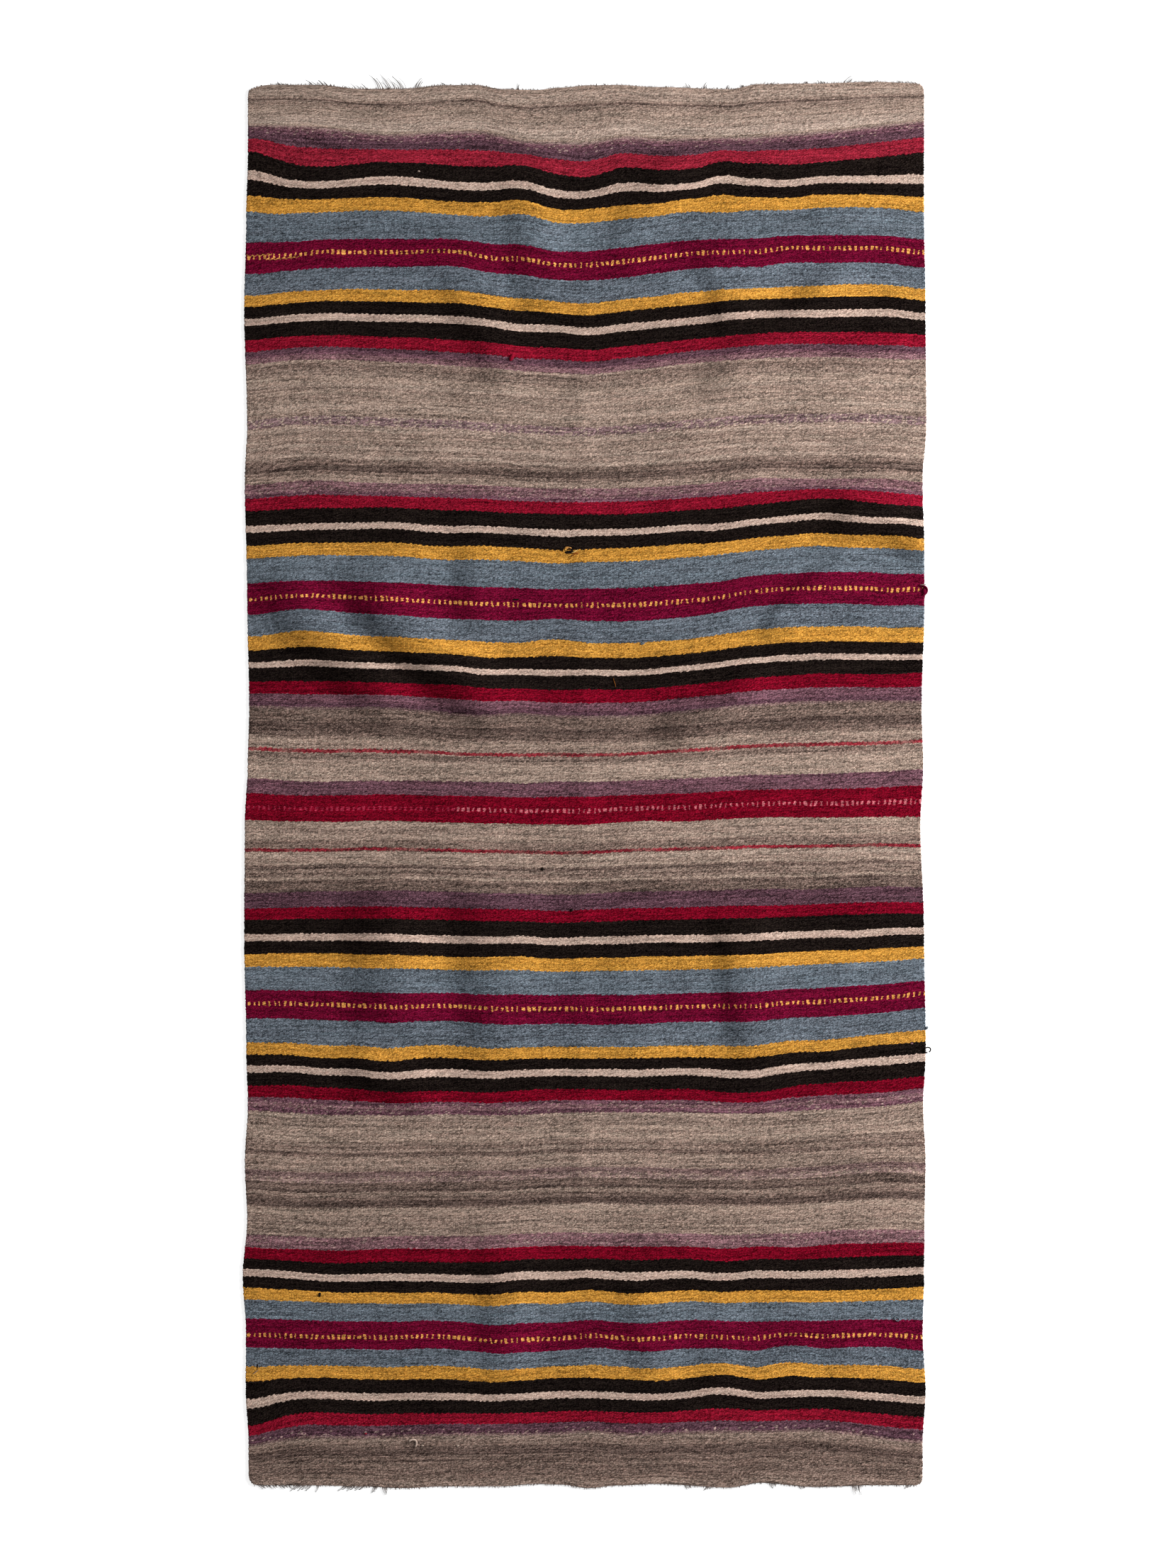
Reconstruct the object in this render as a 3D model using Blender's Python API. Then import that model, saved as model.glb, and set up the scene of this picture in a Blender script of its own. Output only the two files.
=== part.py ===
"""Woven blanket: a one-piece striped flatweave lying flat, with low ripples and worn warp ends.

Metres, +Z up. The origin is under the middle of the blanket, on the surface that it lies on.
X runs from selvedge to selvedge, along the weft. Y runs along the warp, and +Y is the back end.
The cloth is one solid. The last centimetre and a half at each end is a strip of its own, parted from
the cloth by a hair, because the loose warp ends grow out of it.
"""

import math

import bmesh
import bpy

MM = 0.001

# Driving sizes
THICKNESS = 2.5 * MM
HALF_WIDTH = 574.0 * MM
BACK_END = 1183.0 * MM
FRONT_END = -1187.0 * MM
STRIP_DEPTH = 15.0 * MM
PARTING = 0.3 * MM

# Mesh density
CLOTH_COLUMNS = 44
CLOTH_ROWS = 84
STRIP_STATION_GAP = 36.0 * MM
STRIP_ROW_SHARES = (0.0, 0.5, 1.0)
RIDGE_PATH_STEPS = 10

# The share of a ripple's length over which it rises from the floor at each end, and the way in which
# ripples ease off, measured from +X towards +Y
RIDGE_FADE = 0.27
EASY_WAY = math.radians(14.0)

# Loose warp ends
STRAND_ROOT = 2.2 * MM
STRAND_MIDDLE = 1.4 * MM
STRAND_MIDDLE_HEIGHT = 1.2 * MM
STRAND_MIDDLE_REACH_SHARE = 0.55
STRAND_MIDDLE_LEAN_SHARE = 0.35
STRAND_LEAST_GAP = 1.2 * MM
STRAND_LENGTHS_IN_TURN = (1.0, 0.78, 0.55)

# How far each selvedge stands in from its straight line, in millimetres, read down the blanket
SELVEDGE_COLUMNS = ("along", "left_in", "right_in")
SELVEDGE = (
    (1090, 4.0, 1.0),
    (960, 1.0, 1.0),
    (800, -2.5, -1.5),
    (610, 2.5, -3.0),
    (512, -1.5, 3.5),
    (320, 2.5, 0.0),
    (128, 6.0, 5.0),
    (32, 3.5, 2.5),
    (-64, -1.5, 7.0),
    (-256, -2.5, 1.0),
    (-448, 1.0, -2.0),
    (-544, 3.5, 2.5),
    (-640, -1.5, -1.5),
    (-736, 2.5, 0.0),
    (-832, -5.0, 1.0),
    (-928, 0.5, 3.5),
    (-1024, 0.0, -1.5),
    (-1120, 5.0, 3.5),
)

# How far each end line stands out from its straight line, in millimetres, read across the blanket
END_LINE_COLUMNS = ("across", "back_out", "front_out")
END_LINE = (
    (-570, 1.0, -1.0),
    (-450, 0.5, -0.5),
    (-380, -6.0, 1.0),
    (-310, -6.0, 4.0),
    (-240, 0.0, 1.0),
    (-185, 0.5, 1.0),
    (-140, -6.5, 1.0),
    (-85, -8.0, -3.0),
    (-40, -4.0, -2.0),
    (5, 0.0, 4.0),
    (55, 0.5, -0.5),
    (120, -3.0, -3.0),
    (245, -6.5, 3.0),
    (295, 2.0, -5.0),
    (390, 3.0, 2.0),
    (490, 6.0, -1.0),
    (570, 3.0, -1.0),
)

# Rounded corners: the last stretch of selvedge that turns in, and how far it turns in, in millimetres
CORNER_COLUMNS = ("side", "end", "stretch", "turn_in")
CORNERS = (
    ("left", "back", 20.0, 42.0),
    ("right", "back", 20.0, 14.0),
    ("left", "front", 24.0, 16.0),
    ("right", "front", 16.0, 12.0),
)

# Ripples that stand off the floor, in millimetres, each along a curve from start past middle to end.
# The steep side is how far a ripple reaches to its left, and the easy side how far to its right.
RIDGE_COLUMNS = ("name", "steep_side", "easy_side", "height", "start", "middle", "end")
RIDGES = (
    ("upper left upright", 58, 74, 5.6, (-118, 1075), (-89, 923), (-58, 765)),
    ("upper left slant", 50, 80, 6.4, (-238, 905), (-180, 778), (-108, 640)),
    ("upper right slant", 44, 70, 5.2, (205, 1088), (98, 972), (52, 850)),
    ("upper right hook", 42, 95, 6.4, (178, 930), (238, 834), (240, 735)),
    ("upper right rise", 46, 80, 11.5, (170, 668), (322, 758), (475, 902)),
    ("upper edge rise", 34, 50, 3.5, (425, 702), (500, 722), (565, 754)),
    ("left upper upright", 84, 70, 4.0, (-298, 470), (-298, 395), (-292, 310)),
    ("left middle upright", 50, 60, 6.4, (-184, 445), (-184, 330), (-180, 222)),
    ("left long slant", 70, 66, 12.5, (-548, 366), (-424, 236), (-276, 96)),
    ("inner long slant", 66, 84, 17.0, (-405, 378), (-270, 224), (-92, 98)),
    ("right slant", 28, 70, 7.4, (508, 412), (365, 324), (302, 222)),
    ("right low slant", 50, 70, 11.0, (318, 208), (222, 120), (108, 74)),
    ("right edge slant", 46, 80, 13.0, (392, 440), (515, 438), (602, 370)),
    ("lower left upright", 92, 105, 11.0, (-343, -130), (-328, -298), (-316, -470)),
    ("lower inner upright", 78, 110, 8.2, (-166, -145), (-156, -300), (-148, -520)),
    ("lower middle upright", 50, 70, 2.6, (42, -230), (66, -357), (78, -470)),
    ("lower right upright", 48, 110, 8.4, (240, -185), (263, -330), (290, -500)),
    ("lower left hem slant", 56, 60, 9.0, (-420, -450), (-322, -500), (-225, -545)),
    ("front left upright", 56, 80, 6.0, (-150, -700), (-142, -880), (-132, -1085)),
    ("front middle slant", 46, 66, 4.0, (76, -800), (101, -925), (126, -1070)),
    ("front right upright", 40, 60, 2.0, (232, -800), (226, -930), (220, -1065)),
    ("front edge swell", 40, 60, 2.0, (440, -900), (448, -980), (452, -1065)),
    ("centre fold", 26, 30, 1.4, (-7, 1140), (-4, 0), (-6, -1140)),
)

# Tufts of loose warp ends, in millimetres: middle, width, number of strands, reach and sideways lean
TUFT_COLUMNS = ("end", "across", "spread", "strands", "reach", "lean")
TUFTS = (
    ("back", -510, 18, 3, 6, -3),
    ("back", -449, 34, 5, 9, -5),
    ("back", -378, 26, 4, 10, -5),
    ("back", -326, 50, 8, 25, -8),
    ("back", -284, 10, 3, 21, 5),
    ("back", -237, 6, 2, 6, -3),
    ("back", -197, 24, 4, 5, -2),
    ("back", -115, 6, 2, 12, 1),
    ("back", 176, 6, 2, 10, -2),
    ("back", 202, 6, 2, 12, 2),
    ("back", 240, 6, 2, 9, 2),
    ("back", 269, 6, 2, 6, -2),
    ("back", 310, 24, 4, 6, 2),
    ("back", 371, 6, 2, 5, 2),
    ("back", 401, 12, 3, 7, -2),
    ("back", 442, 12, 3, 14, 6),
    ("back", 548, 34, 6, 5, -3),
    ("front", -496, 72, 12, 10, 6),
    ("front", -452, 4, 1, 13, -2),
    ("front", -391, 38, 8, 9, -5),
    ("front", -354, 5, 2, 12, -3),
    ("front", -340, 5, 2, 15, 2),
    ("front", 173, 10, 3, 9, 2),
    ("front", 209, 10, 3, 7, -2),
    ("front", 317, 10, 3, 10, 2),
    ("front", 365, 10, 3, 6, 2),
    ("front", 459, 12, 4, 17, 2),
    ("front", 548, 10, 3, 7, -2),
)


def named(columns, rows):
    """Each row of a table as a dictionary under its column names."""
    return [dict(zip(columns, row)) for row in rows]


def ease(share):
    """0 to 1 with a soft start and a soft stop."""
    share = min(max(share, 0.0), 1.0)
    return share * share * (3.0 - 2.0 * share)


def read_between(rows, key, value, column):
    """A table's column, in metres, read smoothly between the rows either side of value."""
    ordered = sorted(rows, key=lambda row: row[key])
    if value <= ordered[0][key]:
        return ordered[0][column] * MM
    for low, high in zip(ordered, ordered[1:]):
        if value <= high[key]:
            share = ease((value - low[key]) / (high[key] - low[key]))
            return (low[column] + (high[column] - low[column]) * share) * MM
    return ordered[-1][column] * MM


SELVEDGE_ROWS = named(SELVEDGE_COLUMNS, SELVEDGE)
END_LINE_ROWS = named(END_LINE_COLUMNS, END_LINE)
CORNER_ROWS = {(row["side"], row["end"]): row for row in named(CORNER_COLUMNS, CORNERS)}
RIDGE_ROWS = named(RIDGE_COLUMNS, RIDGES)
TUFT_ROWS = named(TUFT_COLUMNS, TUFTS)


def corner_turn(side, end, to_end):
    """How far a rounded corner draws the selvedge in, at this distance from the blanket's end."""
    corner = CORNER_ROWS[(side, end)]
    share = 1.0 - min(max(to_end, 0.0) / (corner["stretch"] * MM), 1.0)
    return corner["turn_in"] * MM * (1.0 - math.sqrt(1.0 - share * share))


def selvedge(side, y):
    """X of a selvedge at Y, with its waves and its rounded corners."""
    draw_in = read_between(SELVEDGE_ROWS, "along", y / MM, side + "_in")
    draw_in += corner_turn(side, "back", BACK_END - y)
    draw_in += corner_turn(side, "front", y - FRONT_END)
    sign = -1.0 if side == "left" else 1.0
    return sign * (HALF_WIDTH - draw_in)


def end_line(end, x):
    """Y of the blanket's end at X, with its waves."""
    out = read_between(END_LINE_ROWS, "across", x / MM, end + "_out")
    return BACK_END + out if end == "back" else FRONT_END - out


def across_at(y, share):
    """X at a share of the way from the left selvedge to the right one, at Y."""
    left = selvedge("left", y)
    return left + (selvedge("right", y) - left) * share


def ridge_path(ridge):
    """Points along a ripple's crest, from its start past its middle to its end."""
    points = []
    for step in range(RIDGE_PATH_STEPS + 1):
        t = step / RIDGE_PATH_STEPS
        points.append(tuple(
            MM * (2 * (t - 0.5) * (t - 1) * start + 4 * t * (1 - t) * middle + 2 * t * (t - 0.5) * end)
            for start, middle, end in zip(ridge["start"], ridge["middle"], ridge["end"])
        ))
    return points


RIDGE_PATHS = [ridge_path(ridge) for ridge in RIDGE_ROWS]


def nearest_on_path(path, x, y):
    """The distance from a point to a path, the share of the path's steps at which it is nearest, and how
    far the point lies from there along the easy way."""
    best_distance, best_share, best_aside = math.inf, 0.0, 0.0
    for index, (low, high) in enumerate(zip(path, path[1:])):
        run_x, run_y = high[0] - low[0], high[1] - low[1]
        share = ((x - low[0]) * run_x + (y - low[1]) * run_y) / (run_x * run_x + run_y * run_y)
        share = min(max(share, 0.0), 1.0)
        off_x, off_y = x - low[0] - run_x * share, y - low[1] - run_y * share
        distance = math.hypot(off_x, off_y)
        if distance < best_distance:
            best_distance = distance
            best_share = (index + share) / (len(path) - 1)
            best_aside = off_x * math.cos(EASY_WAY) + off_y * math.sin(EASY_WAY)
    return best_distance, best_share, best_aside


def ripple_height(x, y):
    """How far the cloth stands off the floor at a point. It is exactly 0 between the ripples."""
    height = 0.0
    for ridge, path in zip(RIDGE_ROWS, RIDGE_PATHS):
        distance, share, aside = nearest_on_path(path, x, y)
        easy = ease(0.5 + aside / distance) if distance else 0.5
        side = ridge["steep_side"] + (ridge["easy_side"] - ridge["steep_side"]) * easy
        off_crest = distance / (side * MM)
        if off_crest < 1.0:
            fade = ease(min(share, 1.0 - share) / RIDGE_FADE)
            height += ridge["height"] * MM * fade * (1.0 - off_crest * off_crest) ** 2
    return height


def plain_material(name, colour, roughness):
    """A woollen finish in one colour."""
    material = bpy.data.materials.new(name)
    material.use_nodes = True
    shader = material.node_tree.nodes["Principled BSDF"]
    shader.inputs["Base Color"].default_value = (*colour, 1.0)
    shader.inputs["Roughness"].default_value = roughness
    shader.inputs["Metallic"].default_value = 0.0
    return material


def add_object(name, mesh_builder, material):
    """Links the finished mesh as a named object, with its faces turned outwards."""
    bmesh.ops.recalc_face_normals(mesh_builder, faces=mesh_builder.faces)
    mesh = bpy.data.meshes.new(name)
    mesh_builder.to_mesh(mesh)
    mesh_builder.free()
    mesh.materials.append(material)
    bpy.context.scene.collection.objects.link(bpy.data.objects.new(name, mesh))


def fill_faces(builder, under, over):
    """Fills a sheet's two faces from their grids of points, and returns the places round its rim."""
    rows, columns = len(under), len(under[0])
    for row in range(rows - 1):
        for column in range(columns - 1):
            corners = ((row, column), (row, column + 1), (row + 1, column + 1), (row + 1, column))
            builder.faces.new([over[r][c] for r, c in corners])
            builder.faces.new([under[r][c] for r, c in reversed(corners)])
    rim = [(0, column) for column in range(columns)]
    rim += [(row, columns - 1) for row in range(1, rows)]
    rim += [(rows - 1, column) for column in range(columns - 2, -1, -1)]
    rim += [(row, 0) for row in range(rows - 2, 0, -1)]
    return rim


def wall_between(builder, under, over, low, high):
    """One face of a sheet's rim, between two neighbouring places on it."""
    builder.faces.new((
        under[low[0]][low[1]],
        under[high[0]][high[1]],
        over[high[0]][high[1]],
        over[low[0]][low[1]],
    ))


def build_cloth(material):
    """The blanket itself, from one parting to the other, with its ripples standing off the floor."""
    builder = bmesh.new()
    front, back = FRONT_END + STRIP_DEPTH, BACK_END - STRIP_DEPTH
    under, over = [], []
    for row in range(CLOTH_ROWS + 1):
        y = front + (back - front) * row / CLOTH_ROWS
        under.append([])
        over.append([])
        for column in range(CLOTH_COLUMNS + 1):
            x = across_at(y, column / CLOTH_COLUMNS)
            height = ripple_height(x, y)
            under[-1].append(builder.verts.new((x, y, height)))
            over[-1].append(builder.verts.new((x, y, height + THICKNESS)))
    rim = fill_faces(builder, under, over)
    for low, high in zip(rim, rim[1:] + rim[:1]):
        wall_between(builder, under, over, low, high)
    add_object("cloth", builder, material)


def strand_roots(end):
    """Each strand at one end: where its root lies across the blanket, its reach and its lean."""
    roots = []
    for tuft in TUFT_ROWS:
        if tuft["end"] != end:
            continue
        for index in range(tuft["strands"]):
            place = (index + 0.5) / tuft["strands"] - 0.5
            shorter = STRAND_LENGTHS_IN_TURN[index % len(STRAND_LENGTHS_IN_TURN)]
            roots.append({
                "x": (tuft["across"] + tuft["spread"] * place) * MM,
                "reach": tuft["reach"] * shorter * MM,
                "lean": tuft["lean"] * shorter * MM,
            })
    roots.sort(key=lambda root: root["x"])
    least = STRAND_ROOT + STRAND_LEAST_GAP
    kept = roots[:1]
    for root in roots[1:]:
        if root["x"] - kept[-1]["x"] >= least:
            kept.append(root)
    return kept


def strip_shares(end, roots):
    """An end strip's columns, as shares of its width, and the gaps between them that are strand roots."""
    y = BACK_END if end == "back" else FRONT_END
    left, right = selvedge("left", y), selvedge("right", y)
    stations = [(left, None), (right, None)]
    for root in roots:
        stations.append((root["x"] - STRAND_ROOT / 2, root))
        stations.append((root["x"] + STRAND_ROOT / 2, None))
    count = int((right - left) / STRIP_STATION_GAP)
    for index in range(1, count):
        x = left + (right - left) * index / count
        if min(abs(x - root["x"]) for root in roots) > STRAND_ROOT:
            stations.append((x, None))
    stations.sort(key=lambda station: station[0])
    shares = [(x - left) / (right - left) for x, root in stations]
    return shares, {index: root for index, (x, root) in enumerate(stations) if root}


def build_strand(builder, root_ring, root, outwards):
    """A tapering loose end, from the four points of its root. Its underside stays level on the floor."""
    low_left, low_right, high_right, high_left = root_ring
    centre_x = (low_left.co.x + low_right.co.x) / 2
    root_y = (low_left.co.y + low_right.co.y) / 2
    middle_x = centre_x + STRAND_MIDDLE_LEAN_SHARE * root["lean"]
    middle_y = root_y + outwards * STRAND_MIDDLE_REACH_SHARE * root["reach"]
    half = STRAND_MIDDLE / 2
    ring = [
        builder.verts.new((middle_x - half, middle_y, 0.0)),
        builder.verts.new((middle_x + half, middle_y, 0.0)),
        builder.verts.new((middle_x + half, middle_y, STRAND_MIDDLE_HEIGHT)),
        builder.verts.new((middle_x - half, middle_y, STRAND_MIDDLE_HEIGHT)),
    ]
    tip = builder.verts.new((centre_x + root["lean"], root_y + outwards * root["reach"], 0.0))
    root_points = (low_left, low_right, high_right, high_left)
    for index in range(4):
        after = (index + 1) % 4
        builder.faces.new((root_points[index], root_points[after], ring[after], ring[index]))
        builder.faces.new((ring[index], ring[after], tip))


def build_end(end, material):
    """The woven strip at one end of the blanket, with the loose warp ends fused to its outer wall."""
    builder = bmesh.new()
    outwards = 1.0 if end == "back" else -1.0
    inner_y = (BACK_END - STRIP_DEPTH if end == "back" else FRONT_END + STRIP_DEPTH) + outwards * PARTING
    nominal_y = BACK_END if end == "back" else FRONT_END
    roots = strand_roots(end)
    shares, strand_gaps = strip_shares(end, roots)
    under, over = [], []
    for depth in STRIP_ROW_SHARES:
        y_straight = inner_y + (nominal_y - inner_y) * depth
        under.append([])
        over.append([])
        for share in shares:
            x = across_at(y_straight, share)
            y = y_straight + (end_line(end, x) - nominal_y) * depth
            under[-1].append(builder.verts.new((x, y, 0.0)))
            over[-1].append(builder.verts.new((x, y, THICKNESS)))
    rim = fill_faces(builder, under, over)
    outer_row = len(under) - 1
    for low, high in zip(rim, rim[1:] + rim[:1]):
        left, right = sorted((low, high), key=lambda point: point[1])
        is_outer = low[0] == high[0] == outer_row
        if is_outer and left[1] in strand_gaps:
            ring = (
                under[left[0]][left[1]],
                under[right[0]][right[1]],
                over[right[0]][right[1]],
                over[left[0]][left[1]],
            )
            build_strand(builder, ring, strand_gaps[left[1]], outwards)
        else:
            wall_between(builder, under, over, low, high)
    add_object("end_" + end, builder, material)


def main():
    for obj in list(bpy.data.objects):
        bpy.data.objects.remove(obj, do_unlink=True)
    build_cloth(plain_material("striped_wool", (0.19, 0.13, 0.11), 0.92))
    build_end("back", plain_material("pale_warp_ends", (0.27, 0.20, 0.16), 0.94))
    build_end("front", plain_material("dark_warp_ends", (0.22, 0.16, 0.13), 0.94))


main()
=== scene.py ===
"""Dresses the woven blanket: its striped flatweave, worn warp ends and the light it lies in.

Metres, in the part's own frame. X runs from selvedge to selvedge, +Y is the back end, +Z is up, and the
blanket lies face up on Z = 0. The weft doesn't run straight across, so two measures along the blanket
are kept apart: y is where a point lies, and "from_back" is how far down the cloth its row of weft was
woven, read on the middle line. The stripes follow the second.
"""

import math
import random

import bpy
import numpy as np
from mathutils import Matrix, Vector, noise


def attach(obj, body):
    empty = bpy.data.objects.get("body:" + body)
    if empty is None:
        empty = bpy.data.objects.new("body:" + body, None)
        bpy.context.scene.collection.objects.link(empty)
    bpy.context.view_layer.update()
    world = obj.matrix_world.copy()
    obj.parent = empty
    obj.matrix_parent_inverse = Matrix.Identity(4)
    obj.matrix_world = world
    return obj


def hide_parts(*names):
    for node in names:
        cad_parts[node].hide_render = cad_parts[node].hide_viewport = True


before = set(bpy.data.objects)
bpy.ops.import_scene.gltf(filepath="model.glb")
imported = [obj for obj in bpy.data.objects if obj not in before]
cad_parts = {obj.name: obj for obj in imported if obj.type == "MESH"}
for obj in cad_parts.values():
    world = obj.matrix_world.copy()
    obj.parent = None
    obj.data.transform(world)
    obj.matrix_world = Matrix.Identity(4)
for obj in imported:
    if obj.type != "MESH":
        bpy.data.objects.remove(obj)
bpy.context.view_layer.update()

MM = 0.001

# Sizes of the part
THICKNESS = 2.5 * MM
HALF_WIDTH = 574.0 * MM
WIDTH = 2 * HALF_WIDTH
BACK_END = 1183.0 * MM
FRONT_END = -1187.0 * MM
LENGTH = BACK_END - FRONT_END

# The weave: a warp rib across, and the beads of weft that follow each other down a rib
RIB = WIDTH / 257
BEAD = 2.6 * MM
BEAD_UNEVENNESS = 0.75
BEAD_SEAM = 0.875
BEAD_NARROWNESS = 0.90
BEAD_FLATNESS = 1.20

# How far ribs and rows stray, and the patches over which they do, in millimetres across and along
RIB_WANDER = 2.5 * MM
RIB_WANDER_PATCHES = (22.0, 33.0)
SLOW_ROW_WANDER = 1.2 * MM
SLOW_WANDER_PATCHES = (77.0, 62.0)
FINE_ROW_WANDER = 1.1 * MM
FINE_WANDER_PATCHES = (11.0, 17.0)
FINE_WANDER_SHIFT = 9.0

# How far a stripe's edge steps from bead to bead, beside the even line that the weft follows
EDGE_RAGGEDNESS = 0.50

# Painted shade in the hollows between the beads: how dark it is, how much it deepens the hue there, and how
# much this differs
CREVICE_DROP = 0.46
CREVICE_RISE = 0.70
CREVICE_HUE = 0.35
CREVICE_HEATHER_GAIN = 2.6
CREVICE_LEAST_DEPTH = 0.4
CREVICE_DEPTH_SPREAD = 1.2

# Pale stray fibres, with painted highlights where they catch the light: their patches in millimetres, where
# their noise begins to show, how fast it rises, and how pale they are
STRAY_GLINT_PATCHES = (1.7, 1.15)
STRAY_GLINT_DETAIL = 2.0
STRAY_GLINT_SHIFT = 5.0
STRAY_GLINT_START = 0.56
STRAY_GLINT_RISE = 3.2
STRAY_GLINT_PALENESS = (0.022, 0.012, 0.015)

# How much beads and threads differ in tone and hue beside a yarn's heather. The steps are how far the
# noise moves on from one row of weft to the next.
BEAD_TONE = 0.9
THREAD_TONE = 1.3
THREAD_PATCHES_PER_METRE = 24.0
THREAD_STEPS = (3.7, 7.31)
LEAST_TONE = 0.15
HUE_LEAN = 0.06
HUE_PATCHES_PER_METRE = 17.0
HUE_STEP = 3.17
HUE_COOL_SHARE = 0.4

# How far noise is slanted, so that its own columns don't line up
NOISE_SHEAR = 0.37

# Makes up for the light that the painted shade in the hollows swallows
YARN_GAIN = 1.11

# Relief of the woven wool, with its patches in millimetres, and how dull it is
FIBRE_PATCHES = (1.5, 0.9)
FIBRE_DETAIL = 3.0
FIBRE_RELIEF = 0.8
BEAD_RELIEF = 0.6 * MM
COCKLE_PATCHES = (17.0, 10.5)
COCKLE_DETAIL = 2.0
COCKLE_RELIEF = 1.6 * MM
WOOL_ROUGHNESS = 0.98
BEAD_SMOOTHNESS = 0.12

# Dots: their widths are shares of two ribs. Each has its own width, height, place, slant and waist, they
# crowd in some places, and their outlines are rough and a little soft. A chance's number gives it random
# values of its own.
DOT_HALF_WIDTH = 0.26
DOT_LEAST_HALF_WIDTH = 0.08
DOT_WIDTH_UNEVENNESS = 0.10
DOT_HALF_HEIGHT = 3.8 * MM
DOT_UNEVENNESS = 1.0 * MM
DOT_SHIFT = 0.07
DOT_SLANT = 0.10
DOT_WAIST = 0.16
DOT_CROWDING = 0.14
DOT_CROWDS_PER_DOT = 0.09
DOT_ROUGHNESS = 0.2
DOT_BUMPS_PER_RIB = 1.8
DOT_BUMPS_PER_METRE = 420.0
DOT_REACH = 1.1
DOT_SOFTNESS = 2.0
DOT_CHANCES = {"shift": 2.0, "slant": 3.0, "waist": 5.0, "width": 7.0, "height": 9.0}

# Loose yarn of one colour: its fibres, its darkest tone and how far it rises, its relief and dullness
SPUN_FIBRES_PER_METRE = 900.0
SPUN_DETAIL = 2.0
SPUN_LEAST_TONE = 0.45
SPUN_TONE_RISE = 1.2
SPUN_RELIEF = 0.4 * MM
SPUN_ROUGHNESS = 0.95

# Loose warp ends: how their tone differs from hair to hair and along each, and how late the tips pale
WARP_HAIRS_PER_METRE = 900.0
WARP_PATCHES_PER_HAIR = 4.0
WARP_LEAST_TONE = 0.55
WARP_TONE_RISE = 0.9
WARP_TIP_LATENESS = 1.3
WARP_ROUGHNESS = 0.9

# Keeps whole numbers from being rounded down, and ratios from dividing by nothing
TINY = 0.0001

# Mesh density, the turn of the cloth's rim, its low lumps, and the free margins in a bake
COLUMN_GAP = 9.0 * MM
ROW_GAP = 9.0 * MM
RIM_STATIONS = (0.4 * MM, 1.25 * MM, 3.0 * MM)
RIM_RADIUS = THICKNESS / 2
RIM_LEAST_SHARE = 0.2
LUMP_HEIGHT = 0.35 * MM
LUMP_SPACING = 26.0 * MM
BAKE_MARGIN = 0.002
FACE_CELL_MARGIN = 0.12

# The share of a ripple's length over which it rises from the floor at each end, and the way in which
# ripples ease off, measured from +X towards +Y
RIDGE_FADE = 0.27
EASY_WAY = math.radians(14.0)
RIDGE_PATH_STEPS = 10

# How far each selvedge stands in from its straight line, in millimetres, read down the blanket
SELVEDGE_COLUMNS = ("along", "left_in", "right_in")
SELVEDGE = (
    (1090, 4.0, 1.0),
    (960, 1.0, 1.0),
    (800, -2.5, -1.5),
    (610, 2.5, -3.0),
    (512, -1.5, 3.5),
    (320, 2.5, 0.0),
    (128, 6.0, 5.0),
    (32, 3.5, 2.5),
    (-64, -1.5, 7.0),
    (-256, -2.5, 1.0),
    (-448, 1.0, -2.0),
    (-544, 3.5, 2.5),
    (-640, -1.5, -1.5),
    (-736, 2.5, 0.0),
    (-832, -5.0, 1.0),
    (-928, 0.5, 3.5),
    (-1024, 0.0, -1.5),
    (-1120, 5.0, 3.5),
)

# How far each end line stands out from its straight line, in millimetres, read across the blanket
END_LINE_COLUMNS = ("across", "back_out", "front_out")
END_LINE = (
    (-570, 1.0, -1.0),
    (-450, 0.5, -0.5),
    (-380, -6.0, 1.0),
    (-310, -6.0, 4.0),
    (-240, 0.0, 1.0),
    (-185, 0.5, 1.0),
    (-140, -6.5, 1.0),
    (-85, -8.0, -3.0),
    (-40, -4.0, -2.0),
    (5, 0.0, 4.0),
    (55, 0.5, -0.5),
    (120, -3.0, -3.0),
    (245, -6.5, 3.0),
    (295, 2.0, -5.0),
    (390, 3.0, 2.0),
    (490, 6.0, -1.0),
    (570, 3.0, -1.0),
)

# Rounded corners: the last stretch of selvedge that turns in, and how far it turns in, in millimetres
CORNER_COLUMNS = ("side", "end", "stretch", "turn_in")
CORNERS = (
    ("left", "back", 20.0, 42.0),
    ("right", "back", 20.0, 14.0),
    ("left", "front", 24.0, 16.0),
    ("right", "front", 16.0, 12.0),
)

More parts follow.
